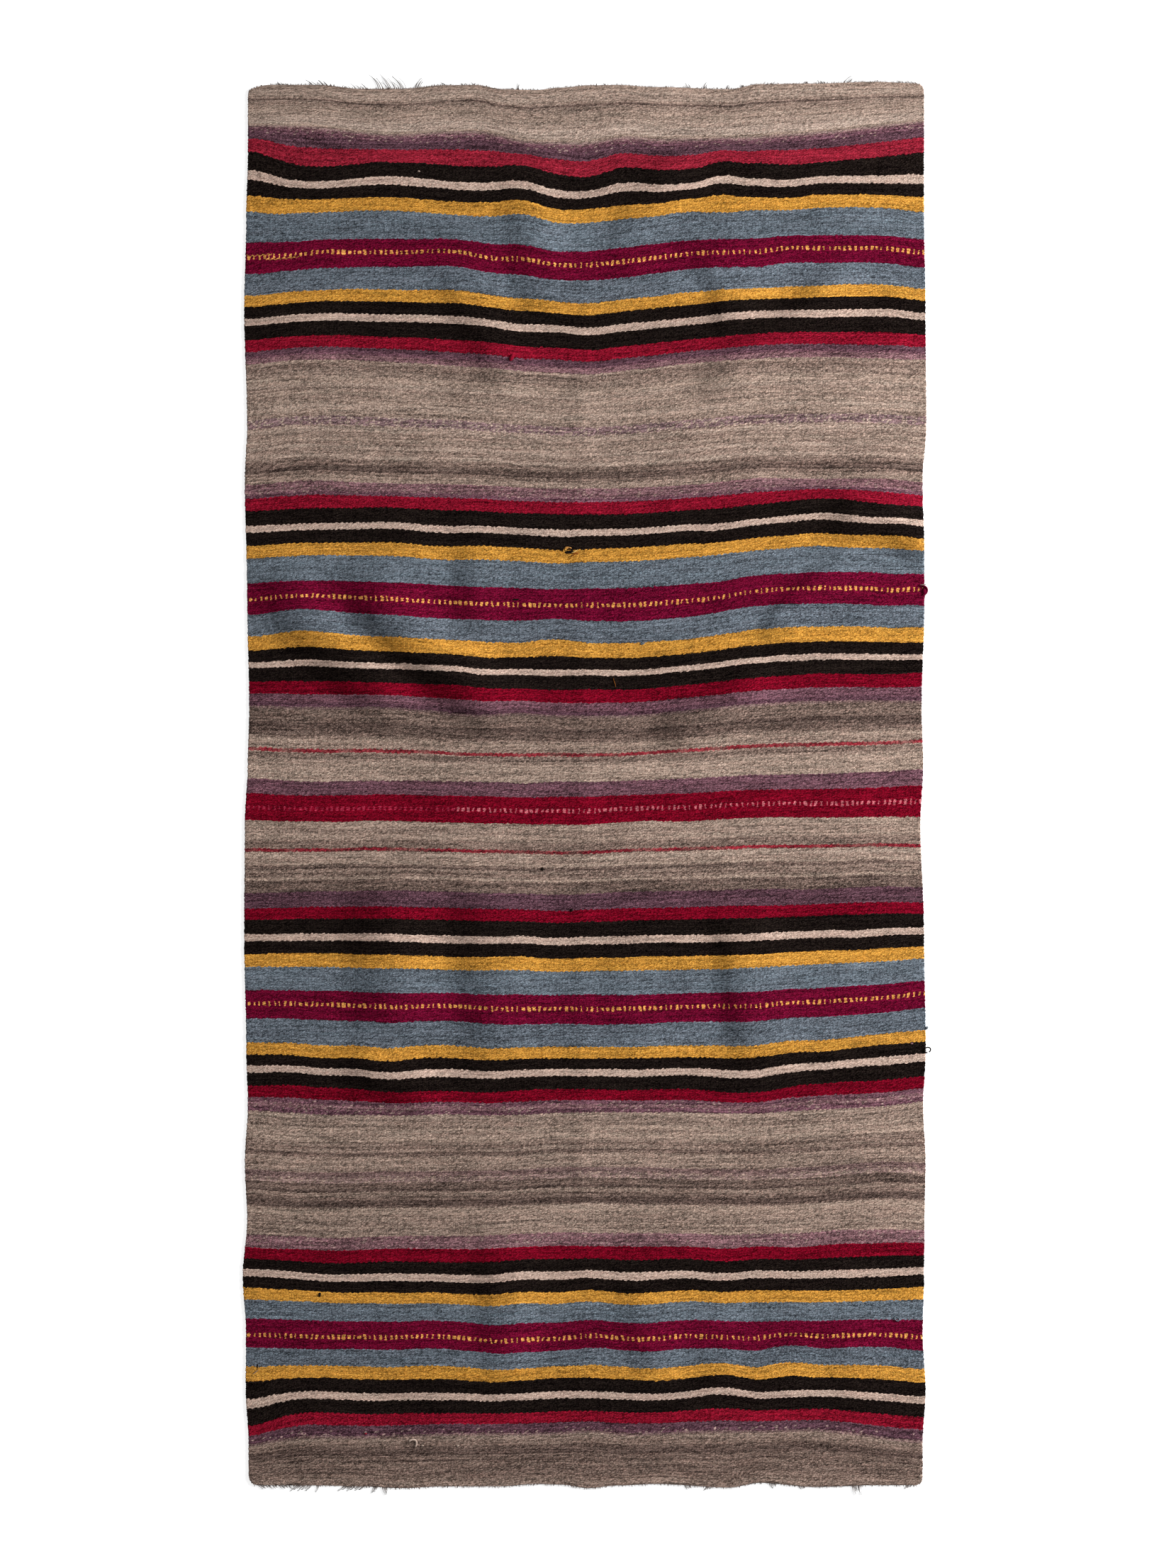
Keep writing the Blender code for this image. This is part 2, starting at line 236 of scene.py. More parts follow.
# Ripples that stand off the floor, in millimetres, each along a curve from start past middle to end.
# The steep side is how far a ripple reaches to its left, and the easy side how far to its right.
RIDGE_COLUMNS = ("name", "steep_side", "easy_side", "height", "start", "middle", "end")
RIDGES = (
    ("upper left upright", 58, 74, 5.6, (-118, 1075), (-89, 923), (-58, 765)),
    ("upper left slant", 50, 80, 6.4, (-238, 905), (-180, 778), (-108, 640)),
    ("upper right slant", 44, 70, 5.2, (205, 1088), (98, 972), (52, 850)),
    ("upper right hook", 42, 95, 6.4, (178, 930), (238, 834), (240, 735)),
    ("upper right rise", 46, 80, 11.5, (170, 668), (322, 758), (475, 902)),
    ("upper edge rise", 34, 50, 3.5, (425, 702), (500, 722), (565, 754)),
    ("left upper upright", 84, 70, 4.0, (-298, 470), (-298, 395), (-292, 310)),
    ("left middle upright", 50, 60, 6.4, (-184, 445), (-184, 330), (-180, 222)),
    ("left long slant", 70, 66, 12.5, (-548, 366), (-424, 236), (-276, 96)),
    ("inner long slant", 66, 84, 17.0, (-405, 378), (-270, 224), (-92, 98)),
    ("right slant", 28, 70, 7.4, (508, 412), (365, 324), (302, 222)),
    ("right low slant", 50, 70, 11.0, (318, 208), (222, 120), (108, 74)),
    ("right edge slant", 46, 80, 13.0, (392, 440), (515, 438), (602, 370)),
    ("lower left upright", 92, 105, 11.0, (-343, -130), (-328, -298), (-316, -470)),
    ("lower inner upright", 78, 110, 8.2, (-166, -145), (-156, -300), (-148, -520)),
    ("lower middle upright", 50, 70, 2.6, (42, -230), (66, -357), (78, -470)),
    ("lower right upright", 48, 110, 8.4, (240, -185), (263, -330), (290, -500)),
    ("lower left hem slant", 56, 60, 9.0, (-420, -450), (-322, -500), (-225, -545)),
    ("front left upright", 56, 80, 6.0, (-150, -700), (-142, -880), (-132, -1085)),
    ("front middle slant", 46, 66, 4.0, (76, -800), (101, -925), (126, -1070)),
    ("front right upright", 40, 60, 2.0, (232, -800), (226, -930), (220, -1065)),
    ("front edge swell", 40, 60, 2.0, (440, -900), (448, -980), (452, -1065)),
    ("centre fold", 26, 30, 1.4, (-7, 1140), (-4, 0), (-6, -1140)),
)

# How the weft wanders: at each section, how far it runs further back than on the middle line, in
# millimetres, at each station across. It is level on the middle line, where the lifts are 0.
WEFT_STATIONS = (-559, -502, -333, -164, -107, -51, 5, 62, 175, 287, 400, 513, 567)
WEFT_SECTIONS = (
    # along, then the lift at each station
    (1084, 26, 29, 14, 17, 4, 1, 0, 10, 7, 10, 19, 31, 37),
    (1028, 44, 24, 25, 18, 20, 6, 0, 16, 13, 24, 25, 36, 43),
    (1000, 34, 19, 24, 13, 16, 1, 0, 13, 13, 21, 25, 25, 25),
    (973, 22, 17, 20, 11, 14, 0, 0, 6, 18, 20, 25, 23, 20),
    (853, 10, 16, 23, 11, 9, 1, 0, 5, 19, 23, 29, 29, 22),
    (767, 16, 22, 23, 14, 6, 5, 0, 6, 17, 28, 29, 32, 26),
    (693, 17, 23, 21, 10, 5, 2, 0, 5, 18, 25, 29, 26, 25),
    (500, 6, 12, 9, 5, 2, 0, 0, 1, 6, 17, 16, 16, 10),
    (457, 6, 9, 12, 5, 2, 1, 0, 0, 8, 16, 28, 17, 14),
    (400, 5, 9, 11, 5, 2, -2, 0, 2, 9, 19, 27, 25, 16),
    (277, 11, 16, 10, 1, 1, 0, 0, 0, 7, 25, 29, 26, 19),
    (160, 13, 13, 11, 4, 1, -1, 0, -1, 7, 19, 26, 26, 29),
    (112, 18, 16, 14, 2, 5, 1, 0, 0, 10, 20, 25, 26, 25),
    (4, 6, 2, 2, 0, -2, 1, 0, 2, 6, 12, 14, 18, 22),
    (-67, 7, 5, 6, 2, 1, 0, 0, 4, 6, 12, 12, 13, 13),
    (-185, 0, 2, 5, 1, 0, -2, 0, 2, 5, 7, 8, 12, 10),
    (-292, 6, 7, 5, 1, 2, -2, 0, 0, 2, 6, 12, 16, 19),
    (-406, 10, 9, 4, 0, 0, 1, 0, 0, 4, 5, 12, 21, 28),
    (-464, 7, 6, -2, -5, -1, 0, 0, 0, 2, 1, 11, 24, 28),
    (-515, 5, 7, -3, -7, -2, 0, 0, -2, 0, -7, 10, 16, 22),
    (-556, 4, -1, -5, -5, -4, -1, 0, 0, 0, -2, 5, 11, 18),
    (-658, -5, -10, -9, -7, -5, -2, 0, -1, -4, -5, 0, 8, 5),
    (-759, -1, -4, -5, -4, -1, 1, 0, 0, -1, -2, 4, 6, 5),
    (-855, 4, 1, -4, -8, -2, -4, 0, -5, 0, 0, -1, 2, 6),
    (-954, 1, -1, -3, -11, -7, -6, 0, -4, -1, -5, -1, 1, -5),
    (-1006, -6, -1, -4, -7, -4, -4, 0, -2, -2, -4, 1, -4, -8),
    (-1060, -24, -7, -3, -4, -3, -4, 0, -2, 1, 1, 4, -6, -10),
    (-1098, -23, -13, -8, -5, -5, -5, 0, -5, -2, 0, 1, -13, -19),
)

# Places where the beaten-in rows bulge back or sag, in millimetres: how far they reach and lift
BULGE_COLUMNS = ("across", "along", "reach_across", "reach_along", "lift")
BULGES = (
    (-559, 1072, 60, 40, 5.0),
    (-526, 952, 60, 26, -3.2),
    (231, 952, 50, 26, -4.6),
    (566, 952, 50, 26, -3.0),
    (-446, 877, 52, 40, 3.0),
    (-164, 877, 52, 40, -2.6),
    (231, 384, 60, 24, 4.4),
    (118, -268, 62, 60, 2.2),
    (457, -275, 50, 55, -2.4),
    (-540, -783, 74, 42, -3.6),
    (118, 1025, 62, 130, -5.0),
    (231, 1015, 52, 90, 8.0),
    (344, 995, 62, 85, -4.6),
    (-220, 866, 98, 100, 8.8),
    (344, 870, 62, 65, 4.0),
    (-250, 400, 75, 80, -4.0),
    (231, 375, 62, 120, -4.0),
    (465, 400, 80, 75, -5.0),
    (574, 300, 66, 120, 8.5),
    (-475, 235, 85, 85, 4.8),
    (-51, 245, 62, 65, 6.6),
    (-164, 180, 58, 75, -3.4),
    (-232, -455, 98, 160, 6.2),
    (-446, -480, 62, 95, -2.6),
    (-333, -480, 50, 95, -2.6),
    (344, -450, 65, 150, 4.0),
    (-420, -800, 115, 95, -4.2),
    (370, -790, 75, 65, -3.2),
    (231, -820, 64, 95, -4.6),
    (-235, -940, 105, 145, 7.8),
    (344, -965, 65, 70, 7.4),
    (118, -1000, 62, 120, -2.8),
    (231, -1012, 68, 92, 8.4),
    (-51, -1030, 58, 105, 3.8),
    (-390, -1075, 112, 70, -3.2),
)

# The light that falls on level cloth: a white sheet there would look this bright
LIGHT_LEVEL = 1.32

# Yarns, as they look on the blanket (0 to 255), and how much their fibres differ in tone
YARN_COLUMNS = ("name", "red", "green", "blue", "heather")
YARNS = (
    ("chalk", 165, 146, 134, 0.31),
    ("pale", 155, 136, 124, 0.33),
    ("fawn", 148, 129, 117, 0.35),
    ("stone", 140, 121, 110, 0.38),
    ("drab", 130, 112, 102, 0.42),
    ("taupe", 120, 102, 93, 0.46),
    ("umber", 110, 93, 85, 0.50),
    ("bark", 100, 84, 77, 0.52),
    ("soot", 90, 75, 69, 0.52),
    ("rose grey", 134, 112, 107, 0.38),
    ("dusk", 112, 91, 88, 0.44),
    ("mauve", 118, 88, 92, 0.46),
    ("lilac grey", 124, 101, 102, 0.42),
    ("purple", 102, 71, 80, 0.44),
    ("plum", 86, 60, 69, 0.44),
    ("scarlet", 136, 34, 50, 0.32),
    ("red", 123, 18, 38, 0.34),
    ("deep red", 110, 8, 30, 0.34),
    ("claret", 98, 11, 41, 0.34),
    ("black", 25, 20, 17, 0.46),
    ("white", 177, 154, 141, 0.22),
    ("yellow", 184, 133, 58, 0.28),
    ("blue", 95, 103, 111, 0.36),
    ("slate", 93, 100, 108, 0.38),
    ("pink", 170, 92, 100, 0.30),
    ("dull pink", 146, 40, 62, 0.30),
    ("amber", 204, 144, 78, 0.28),
    ("pale gold", 226, 186, 116, 0.28),
    ("rust", 142, 84, 34, 0.30),
)

# How unevenly the wool takes the light: each layer's patches, in millimetres across and along the
# blanket, how fine their detail is, and how strong they are beside a yarn's heather
TONE_COLUMNS = ("name", "across", "along", "detail", "strength")
TONES = (
    ("bobbins", 330.0, 7.0, 1.0, 0.7),
    ("patches", 140.0, 110.0, 2.0, 0.6),
    ("long streaks", 95.0, 2.8, 2.0, 1.8),
    ("short streaks", 11.0, 2.2, 2.0, 0.8),
    ("lumps", 4.0, 3.4, 1.0, 1.3),
    ("fibres", 1.35, 1.2, 3.0, 4.4),
)

# The yarns of a band between its first red and its last
BAND_YARNS = (
    "black", "white", "black", "yellow", "blue", "claret", "slate", "yellow", "black", "white", "black",
)


def band(first_red, last_red, *starts):
    """The stripes of one band, from the names of its two reds and where its stripes begin."""
    return zip(starts, (first_red, *BAND_YARNS, last_red))


# Stripes down the middle line: where each begins, in millimetres from the back end, and its yarn
STRIPE_COLUMNS = ("from_back", "yarn")
STRIPES = (
    # Back end
    (0, "fawn"), (11, "pale"), (27, "stone"), (32, "bark"), (36, "drab"), (41, "stone"), (48, "fawn"),
    (63, "pale"), (76, "chalk"), (92, "fawn"), (97, "rose grey"), (101, "mauve"), (105, "purple"),
    (111, "plum"),
    # First band
    *band("scarlet", "red", 128, 155, 179, 190, 210, 232, 281, 330, 368, 389, 411, 423, 448),
    (468, "plum"), (476, "purple"), (480, "mauve"), (489, "stone"),
    # First plain stretch
    (494, "taupe"), (503, "drab"), (514, "fawn"), (526, "pale"), (532, "stone"), (538, "fawn"),
    (545, "stone"), (552, "fawn"), (559, "pale"), (566, "fawn"), (572, "stone"), (579, "lilac grey"),
    (593, "stone"), (596, "pale"), (603, "stone"), (612, "fawn"), (618, "stone"), (624, "pale"),
    (630, "stone"), (639, "pale"), (645, "drab"), (648, "taupe"), (655, "bark"), (663, "soot"),
    (666, "taupe"), (672, "stone"), (683, "mauve"), (699, "purple"),
    # Second band
    *band("red", "deep red", 706, 727, 751, 763, 785, 807, 852, 906, 944, 968, 989, 999, 1022),
    (1045, "purple"), (1060, "plum"), (1067, "dusk"),
    # Middle
    (1071, "umber"), (1076, "umber"), (1091, "soot"), (1099, "bark"), (1108, "umber"),
    (1112, "drab"), (1116, "fawn"), (1121, "stone"), (1138, "taupe"), (1146, "stone"), (1150, "fawn"),
    (1170, "fawn"), (1179, "purple"), (1204, "deep red"), (1251, "stone"),
    (1254, "fawn"), (1262, "stone"), (1266, "stone"), (1272, "fawn"), (1280, "stone"), (1283, "taupe"),
    (1302, "fawn"), (1306, "pale"), (1311, "stone"), (1317, "fawn"), (1323, "taupe"), (1326, "bark"),
    (1330, "drab"), (1335, "taupe"), (1341, "drab"), (1344, "fawn"), (1348, "umber"), (1351, "bark"),
    (1358, "umber"), (1362, "bark"), (1368, "plum"),
    # Third band
    *band(
        "deep red", "deep red",
        1395, 1415, 1441, 1453, 1476, 1498, 1539, 1589, 1627, 1647, 1665, 1677, 1699,
    ),
    (1717, "purple"), (1724, "mauve"), (1731, "purple"),
    # Second plain stretch
    (1738, "stone"), (1741, "fawn"), (1745, "drab"), (1750, "stone"), (1755, "drab"), (1760, "fawn"),
    (1767, "stone"), (1772, "fawn"), (1782, "drab"), (1788, "taupe"), (1793, "drab"), (1799, "bark"),
    (1803, "taupe"), (1806, "stone"), (1823, "drab"), (1830, "dusk"), (1840, "rose grey"),
    (1848, "bark"), (1854, "umber"), (1859, "soot"), (1864, "drab"), (1872, "umber"), (1880, "soot"),
    (1890, "umber"), (1893, "fawn"), (1905, "stone"), (1917, "drab"), (1925, "fawn"), (1928, "drab"),
    (1935, "stone"), (1942, "mauve"),
    # Fourth band
    *band("deep red", "red", 1964, 1985, 2005, 2018, 2039, 2058, 2089, 2136, 2165, 2187, 2210, 2222, 2244),
    (2261, "plum"), (2276, "dusk"),
    # Front end
    (2280, "drab"), (2287, "taupe"), (2297, "bark"), (2304, "soot"), (2313, "umber"), (2322, "bark"),
    (2326, "taupe"), (2333, "umber"), (2348, "taupe"), (2358, "drab"),
)

# How many stripes one colour ramp holds
RAMP_STRIPES = 12

# Rows of dots, woven pick and pick so that the second yarn shows on every second rib, in millimetres
# from the back end and from the left selvedge, where they begin
DOT_COLUMNS = ("name", "from_back", "from_left", "yarn")
DOT_ROWS = (
    ("first amber", 304.5, 0.0, "amber"),
    ("second amber", 880.0, 0.0, "amber"),
    ("middle faint pink", 1228.0, 0.0, "dull pink"),
    ("middle pink", 1228.0, 360.0, "pink"),
    ("third amber", 1563.0, 0.0, "amber"),
    ("fourth amber", 2116.0, 0.0, "amber"),
)

# Thin lines that link the first dots of a row, in millimetres from the back end and from the left, with
# their height, the wave in them and how strong they are
LINK_COLUMNS = ("name", "from_back", "start", "end")
LINKS = (
    ("over the first dots", 301.2, 1.0, 44.0),
    ("under them", 308.4, 34.0, 90.0),
)
LINK_HEIGHT = 1.9 * MM
LINK_WAVE = 0.9 * MM
LINK_STRENGTH = 1.6
LINK_CHANCE = 4.0

# Rows where pale beads show among the others, in millimetres, and what share of the beads is pale
FLECK_COLUMNS = ("name", "from_back", "height", "share", "yarn")
FLECKS = (
    ("back purple", 108.0, 16.0, 0.09, "rose grey"),
    ("back lilac", 587.0, 17.0, 0.34, "pale"),
    ("second purple", 694.0, 16.0, 0.08, "rose grey"),
    ("third purple", 1728.0, 16.0, 0.12, "rose grey"),
    ("front lilac", 1843.0, 12.0, 0.34, "stone"),
    ("fourth purple", 1951.0, 16.0, 0.10, "rose grey"),
    ("front purple", 2272.0, 7.0, 0.12, "rose grey"),
)

# Single threads of red in the plain weave, in millimetres
HAIRLINE_COLUMNS = ("name", "from_back", "height")
HAIRLINES = (
    ("upper", 1134.0, 5.4),
    ("lower", 1298.5, 5.0),
)

# How often such a thread sinks in, how strongly it shows, and the most that it may show
HAIRLINE_PATCHES_PER_METRE = 22.0
HAIRLINE_STRENGTH = 1.7
HAIRLINE_MOST = 0.9

# Tufts of loose warp ends, in millimetres: middle, width, number of strands, reach and sideways lean.
# A few hairs stand for each strand.
TUFT_COLUMNS = ("end", "across", "spread", "strands", "reach", "lean")
TUFTS = (
    ("back", -510, 18, 3, 6, -3),
    ("back", -449, 34, 5, 9, -5),
    ("back", -378, 26, 4, 10, -5),
    ("back", -326, 50, 8, 25, -8),
    ("back", -284, 10, 3, 21, 5),
    ("back", -237, 6, 2, 6, -3),
    ("back", -197, 24, 4, 5, -2),
    ("back", -115, 6, 2, 12, 1),
    ("back", 176, 6, 2, 10, -2),
    ("back", 202, 6, 2, 12, 2),
    ("back", 240, 6, 2, 9, 2),
    ("back", 269, 6, 2, 6, -2),
    ("back", 310, 24, 4, 6, 2),
    ("back", 371, 6, 2, 5, 2),
    ("back", 401, 12, 3, 7, -2),
    ("back", 442, 12, 3, 14, 6),
    ("back", 548, 34, 6, 5, -3),
    ("front", -528, 56, 10, 8, 4),
    ("front", -478, 30, 7, 11, -4),
    ("front", -452, 4, 1, 13, -2),
    ("front", -391, 38, 8, 9, -5),
    ("front", -354, 5, 2, 12, -3),
    ("front", -340, 5, 2, 15, 2),
    ("front", 173, 10, 3, 9, 2),
    ("front", 209, 10, 3, 7, -2),
    ("front", 317, 10, 3, 10, 2),
    ("front", 365, 10, 3, 6, 2),
    ("front", 459, 12, 4, 17, 2),
    ("front", 548, 10, 3, 7, -2),
)

# Loose hairs of warp: how thick they are, how far their roots are sunk in, and how they spread, lean,
# bend and curl. Stubs are the worn, short ends between the tufts. Pairs are the least and the most.
HAIR_RADIUS = 0.78 * MM
HAIR_STEPS = 7
HAIR_TIP_THINNING = 0.6
HAIR_FULL_REACH = 9.0 * MM
HAIR_ROOT_DEPTH = 3.0 * MM
HAIR_ROOT_SPREAD = 5.0 * MM
HAIR_TIP_SPREAD = 3.0 * MM
HAIR_CURL = 1.6 * MM
HAIR_CURL_REACH = 10 * MM
HAIR_LEAN_GAIN = 2.1
HAIR_BEND = 1.8
HAIR_LIFT_MM = 0.5
HAIR_LENGTHS = (0.8, 1.0)
HAIR_THICKNESSES = (0.6, 1.0)
HAIR_SIDES = 4
STRAND_LENGTHS_IN_TURN = (1.0, 0.78, 0.55)
STUB_GAP = 1.5 * MM
STUB_GAPS = (0.6, 1.4)
STUB_REACH = (0.3 * MM, 3.6 * MM)
STUB_SHORTNESS = 1.6
STUB_RADIUS = 0.95 * MM
STUB_THICKNESSES = (0.7, 1.1)

# At each end: how many hairs stand for a strand, the yarn at their roots, and the grey of their tips
HAIR_COLUMNS = ("end", "slot", "hairs_per_strand", "root_yarn", "tip_grey")
HAIRS = (
    ("back", "pale_warp_ends", 2, "bark", 0.15),
    ("front", "dark_warp_ends", 5, "umber", 0.62),
)

# The weft's turns round the last warp at each selvedge
TURN_RADIUS = (1.05 * MM, 1.55 * MM)
TURN_INSET = 0.7 * MM
TURN_WANDER = 0.45 * MM
TURN_TILT = 0.4
TURN_OVERLAP = 1.35
TURN_SIDES = 6
TURN_STATIONS = (-1.0, -0.5, 0.5, 1.0)
TURN_PROFILE = (0.45, 1.0, 1.0, 0.45)

# Small knots, pills, pulled loops and threads on the face. Their places are pixels of the photograph,
# which is 1659 pixels wide and 2212 high. Their sizes are in millimetres and their turns in degrees.
# A lump is a knot or a pill, a loop or an arc stands up a little with its ends sunk in, a thread lies on
# the face, and a hollow is a flat, dark place.
PHOTO_MIDDLE_X = 825.5
PHOTO_MIDDLE_Y = 1106.5
PIXEL = 1.2 * MM
BIT_COLUMNS = ("name", "pixel_x", "pixel_y", "kind", "length", "width", "turn", "yarn")
BITS = (
    ("pulled loop over the hole", 800, 773, "lump", 9.6, 4.0, 6, "amber"),
    ("root of the loop", 798, 775, "lump", 6.0, 3.6, 40, "yellow"),
    ("second strand of the loop", 804, 773, "thread", 6.0, 2.0, -30, "amber"),
    ("end of the loop", 795, 777, "thread", 5.0, 1.4, 60, "yellow"),
    ("hole under it", 803, 779, "hollow", 17.0, 6.5, 6, "black"),
    # A painted shadow, rust brown, beside the hole and under the threads across it
    ("shade right of the hole", 812, 781, "hollow", 12.0, 3.6, 8, "rust"),
    ("thread across the hole", 811, 778, "thread", 12.0, 1.8, 8, "pale gold"),
    ("second thread across it", 808, 784, "thread", 12.0, 1.2, 10, "rust"),
    ("loop off the selvedge", 1302, 833, "arc", 14.0, 15.0, -8, "claret"),
    ("fold inside it", 1304, 834, "lump", 15.0, 7.0, 96, "claret"),
    ("thread beside it", 1302, 825, "thread", 10.0, 2.0, -12, "rose grey"),
    ("ring off the selvedge", 1308, 1481, "loop", 11.0, 9.0, 20, "black"),
    ("fuzz on the selvedge", 1307, 1450, "lump", 7.0, 4.5, 40, "blue"),
    ("lilac fleck", 1286, 1472, "lump", 5.0, 3.2, 0, "mauve"),
    ("ring knot", 853, 532, "loop", 7.0, 6.0, 0, "chalk"),
    ("slub below the red", 722, 505, "lump", 13.0, 8.0, 66, "red"),
    ("dark pill", 765, 1226, "lump", 6.5, 5.0, 10, "black"),
    ("dark pill on the purple", 806, 1284, "lump", 6.5, 5.0, 70, "black"),
    ("first slub in the blue", 727, 397, "lump", 9.0, 5.0, 5, "slate"),
    ("second slub in the blue", 754, 886, "lump", 8.0, 4.0, 0, "blue"),
    ("third slub in the blue", 906, 908, "lump", 8.0, 4.2, 12, "blue"),
    ("fourth slub in the blue", 1012, 886, "lump", 7.0, 4.0, 170, "blue"),
    ("slit in the claret", 727, 846, "hollow", 13.0, 3.2, 4, "black"),
    ("thread across it", 729, 848, "thread", 14.0, 1.0, 4, "claret"),
    ("left loop in the blue", 621, 1850, "loop", 9.0, 5.0, 30, "blue"),
    ("right loop in the blue", 1265, 1860, "loop", 9.0, 6.0, 140, "blue"),
    ("knot on the yellow", 451, 1826, "lump", 7.0, 5.0, 80, "black"),
    ("slit by the left selvedge", 363, 1927, "hollow", 9.0, 3.0, 90, "black"),
    ("thread by it", 361, 1935, "thread", 12.0, 0.9, 20, "chalk"),
    ("end in the yellow", 687, 1739, "thread", 11.0, 1.0, 5, "chalk"),
    ("looped end near the front", 581, 2037, "arc", 18.0, 14.0, 48, "chalk"),
    ("first tuft beside it", 596, 2039, "lump", 5.0, 3.2, 0, "chalk"),
    ("second tuft beside it", 646, 2039, "lump", 5.0, 3.4, 20, "chalk"),
    ("speck on the purple", 516, 2022, "lump", 4.6, 3.0, 0, "scarlet"),
    ("corner knot", 1298, 2082, "lump", 8.0, 6.0, 30, "pale"),
    ("fleck on the black", 591, 242, "lump", 5.0, 3.0, 0, "pale"),
    ("hair on the black", 867, 963, "thread", 16.0, 0.8, 88, "rust"),
)
BIT_SIDES = 8
LUMP_RINGS = 9
LUMP_SPAN = 0.98
LUMP_STRETCH = (0.93, 1.07)
LUMP_FLATNESS = 0.62
LUMP_ROUGHNESS = 0.42 * MM
HOLLOW_FLATNESS = 0.12
LOOP_RINGS = 17
LOOP_YARN_SHARE = 0.10
LOOP_SWEEP = (-75.0, 255.0)
ARC_SWEEP = (-85.0, 85.0)
LOOP_FOOT = 0.2
LOOP_ARCH = 1.3
THREAD_RINGS = 11
THREAD_BOW = 0.12
THREAD_BEND = 1.7
THREAD_LIFT = 0.6
THREAD_THICKNESS = 1.1
THREAD_TAPER = 0.7


def named(columns, rows):
    """Each row of a table as a dictionary under its column names."""
    return [dict(zip(columns, row)) for row in rows]


SELVEDGE_ROWS = named(SELVEDGE_COLUMNS, SELVEDGE)
END_LINE_ROWS = named(END_LINE_COLUMNS, END_LINE)
CORNER_ROWS = {(row["side"], row["end"]): row for row in named(CORNER_COLUMNS, CORNERS)}
RIDGE_ROWS = named(RIDGE_COLUMNS, RIDGES)
BULGE_ROWS = named(BULGE_COLUMNS, BULGES)
TUFT_ROWS = named(TUFT_COLUMNS, TUFTS)
YARN_ROWS = {row["name"]: row for row in named(YARN_COLUMNS, YARNS)}
STRIPE_ROWS = named(STRIPE_COLUMNS, STRIPES)


# The cloth's shape

def ease(share):
    """0 to 1 with a soft start and a soft stop."""
    share = np.clip(share, 0.0, 1.0)
    return share * share * (3.0 - 2.0 * share)


def read_between(rows, key, places, column):
    """A table's column, in metres, read smoothly between its rows at an array of places in metres."""
    ordered = sorted(rows, key=lambda row: row[key])
    stations = np.array([row[key] * MM for row in ordered])
    values = np.array([row[column] * MM for row in ordered])
    places = np.clip(places, stations[0], stations[-1])
    low = np.clip(np.searchsorted(stations, places) - 1, 0, len(stations) - 2)
    share = ease((places - stations[low]) / (stations[low + 1] - stations[low]))
    return values[low] + (values[low + 1] - values[low]) * share


def corner_turn(side, end, to_end):
    """How far a rounded corner draws the selvedge in, at these distances from the blanket's end."""
    corner = CORNER_ROWS[(side, end)]
    share = 1.0 - np.clip(to_end / (corner["stretch"] * MM), 0.0, 1.0)
    return corner["turn_in"] * MM * (1.0 - np.sqrt(1.0 - share * share))


def selvedge(side, y, along):
    """X of a selvedge at Y. Its rounded corners are read along the cloth instead."""
    draw_in = read_between(SELVEDGE_ROWS, "along", y, side + "_in")
    draw_in = draw_in + corner_turn(side, "back", BACK_END - along)
    draw_in = draw_in + corner_turn(side, "front", along - FRONT_END)
    sign = -1.0 if side == "left" else 1.0
    return sign * (HALF_WIDTH - draw_in)


def section_lifts(x):
    """The weft's lift at every section, the two ends included, at an array of places across."""
    stations = np.array(WEFT_STATIONS) * MM
    lifts = np.array([row[1:] for row in WEFT_SECTIONS]) * MM
    slopes = np.gradient(lifts, stations, axis=1)
    low = np.clip(np.searchsorted(stations, x) - 1, 0, len(stations) - 2)
    gap = stations[low + 1] - stations[low]
    t = np.clip((x - stations[low]) / gap, 0.0, 1.0)
    woven = (2 * t ** 3 - 3 * t ** 2 + 1) * lifts[:, low] + (t ** 3 - 2 * t ** 2 + t) * gap * slopes[:, low]
    woven += (3 * t ** 2 - 2 * t ** 3) * lifts[:, low + 1] + (t ** 3 - t ** 2) * gap * slopes[:, low + 1]
    back = read_between(END_LINE_ROWS, "across", x, "back_out")
    front = -read_between(END_LINE_ROWS, "across", x, "front_out")
    return np.vstack([back, woven, front])


SECTION_PLACES = np.array([BACK_END, *(row[0] * MM for row in WEFT_SECTIONS), FRONT_END])


def weft_lift(x, along):
    """How far a row of weft, woven at "along" on the middle line, runs further back at each X."""
    lifts = section_lifts(x)
    high = int(np.clip(np.searchsorted(-SECTION_PLACES, -along) - 1, 0, len(SECTION_PLACES) - 2))
    share = (SECTION_PLACES[high] - along) / (SECTION_PLACES[high] - SECTION_PLACES[high + 1])
    lift = lifts[high] + (lifts[high + 1] - lifts[high]) * share
    for bulge in BULGE_ROWS:
        off_across = (x / MM - bulge["across"]) / bulge["reach_across"]
        off_along = (along / MM - bulge["along"]) / bulge["reach_along"]
        reach = np.minimum(off_across ** 2 + off_along ** 2, 1.0)
        lift = lift + bulge["lift"] * MM * (1.0 - reach) ** 2
    return lift


def weft_row(along, shares):
    """X and Y of the points of one row of weft, at these shares of the way across."""
    straight = HALF_WIDTH * (2 * shares - 1)
    y = along + weft_lift(straight, along)
    left, right = selvedge("left", y, along), selvedge("right", y, along)
    x = left + (right - left) * shares
    return x, along + weft_lift(x, along)


def ridge_path(ridge):
    """Points along a ripple's crest, from its start past its middle to its end."""
    t = np.linspace(0.0, 1.0, RIDGE_PATH_STEPS + 1)[:, None]
    start, middle, end = (np.array(ridge[key]) * MM for key in ("start", "middle", "end"))
    return 2 * (t - 0.5) * (t - 1) * start + 4 * t * (1 - t) * middle + 2 * t * (t - 0.5) * end


RIDGE_PATHS = [ridge_path(ridge) for ridge in RIDGE_ROWS]


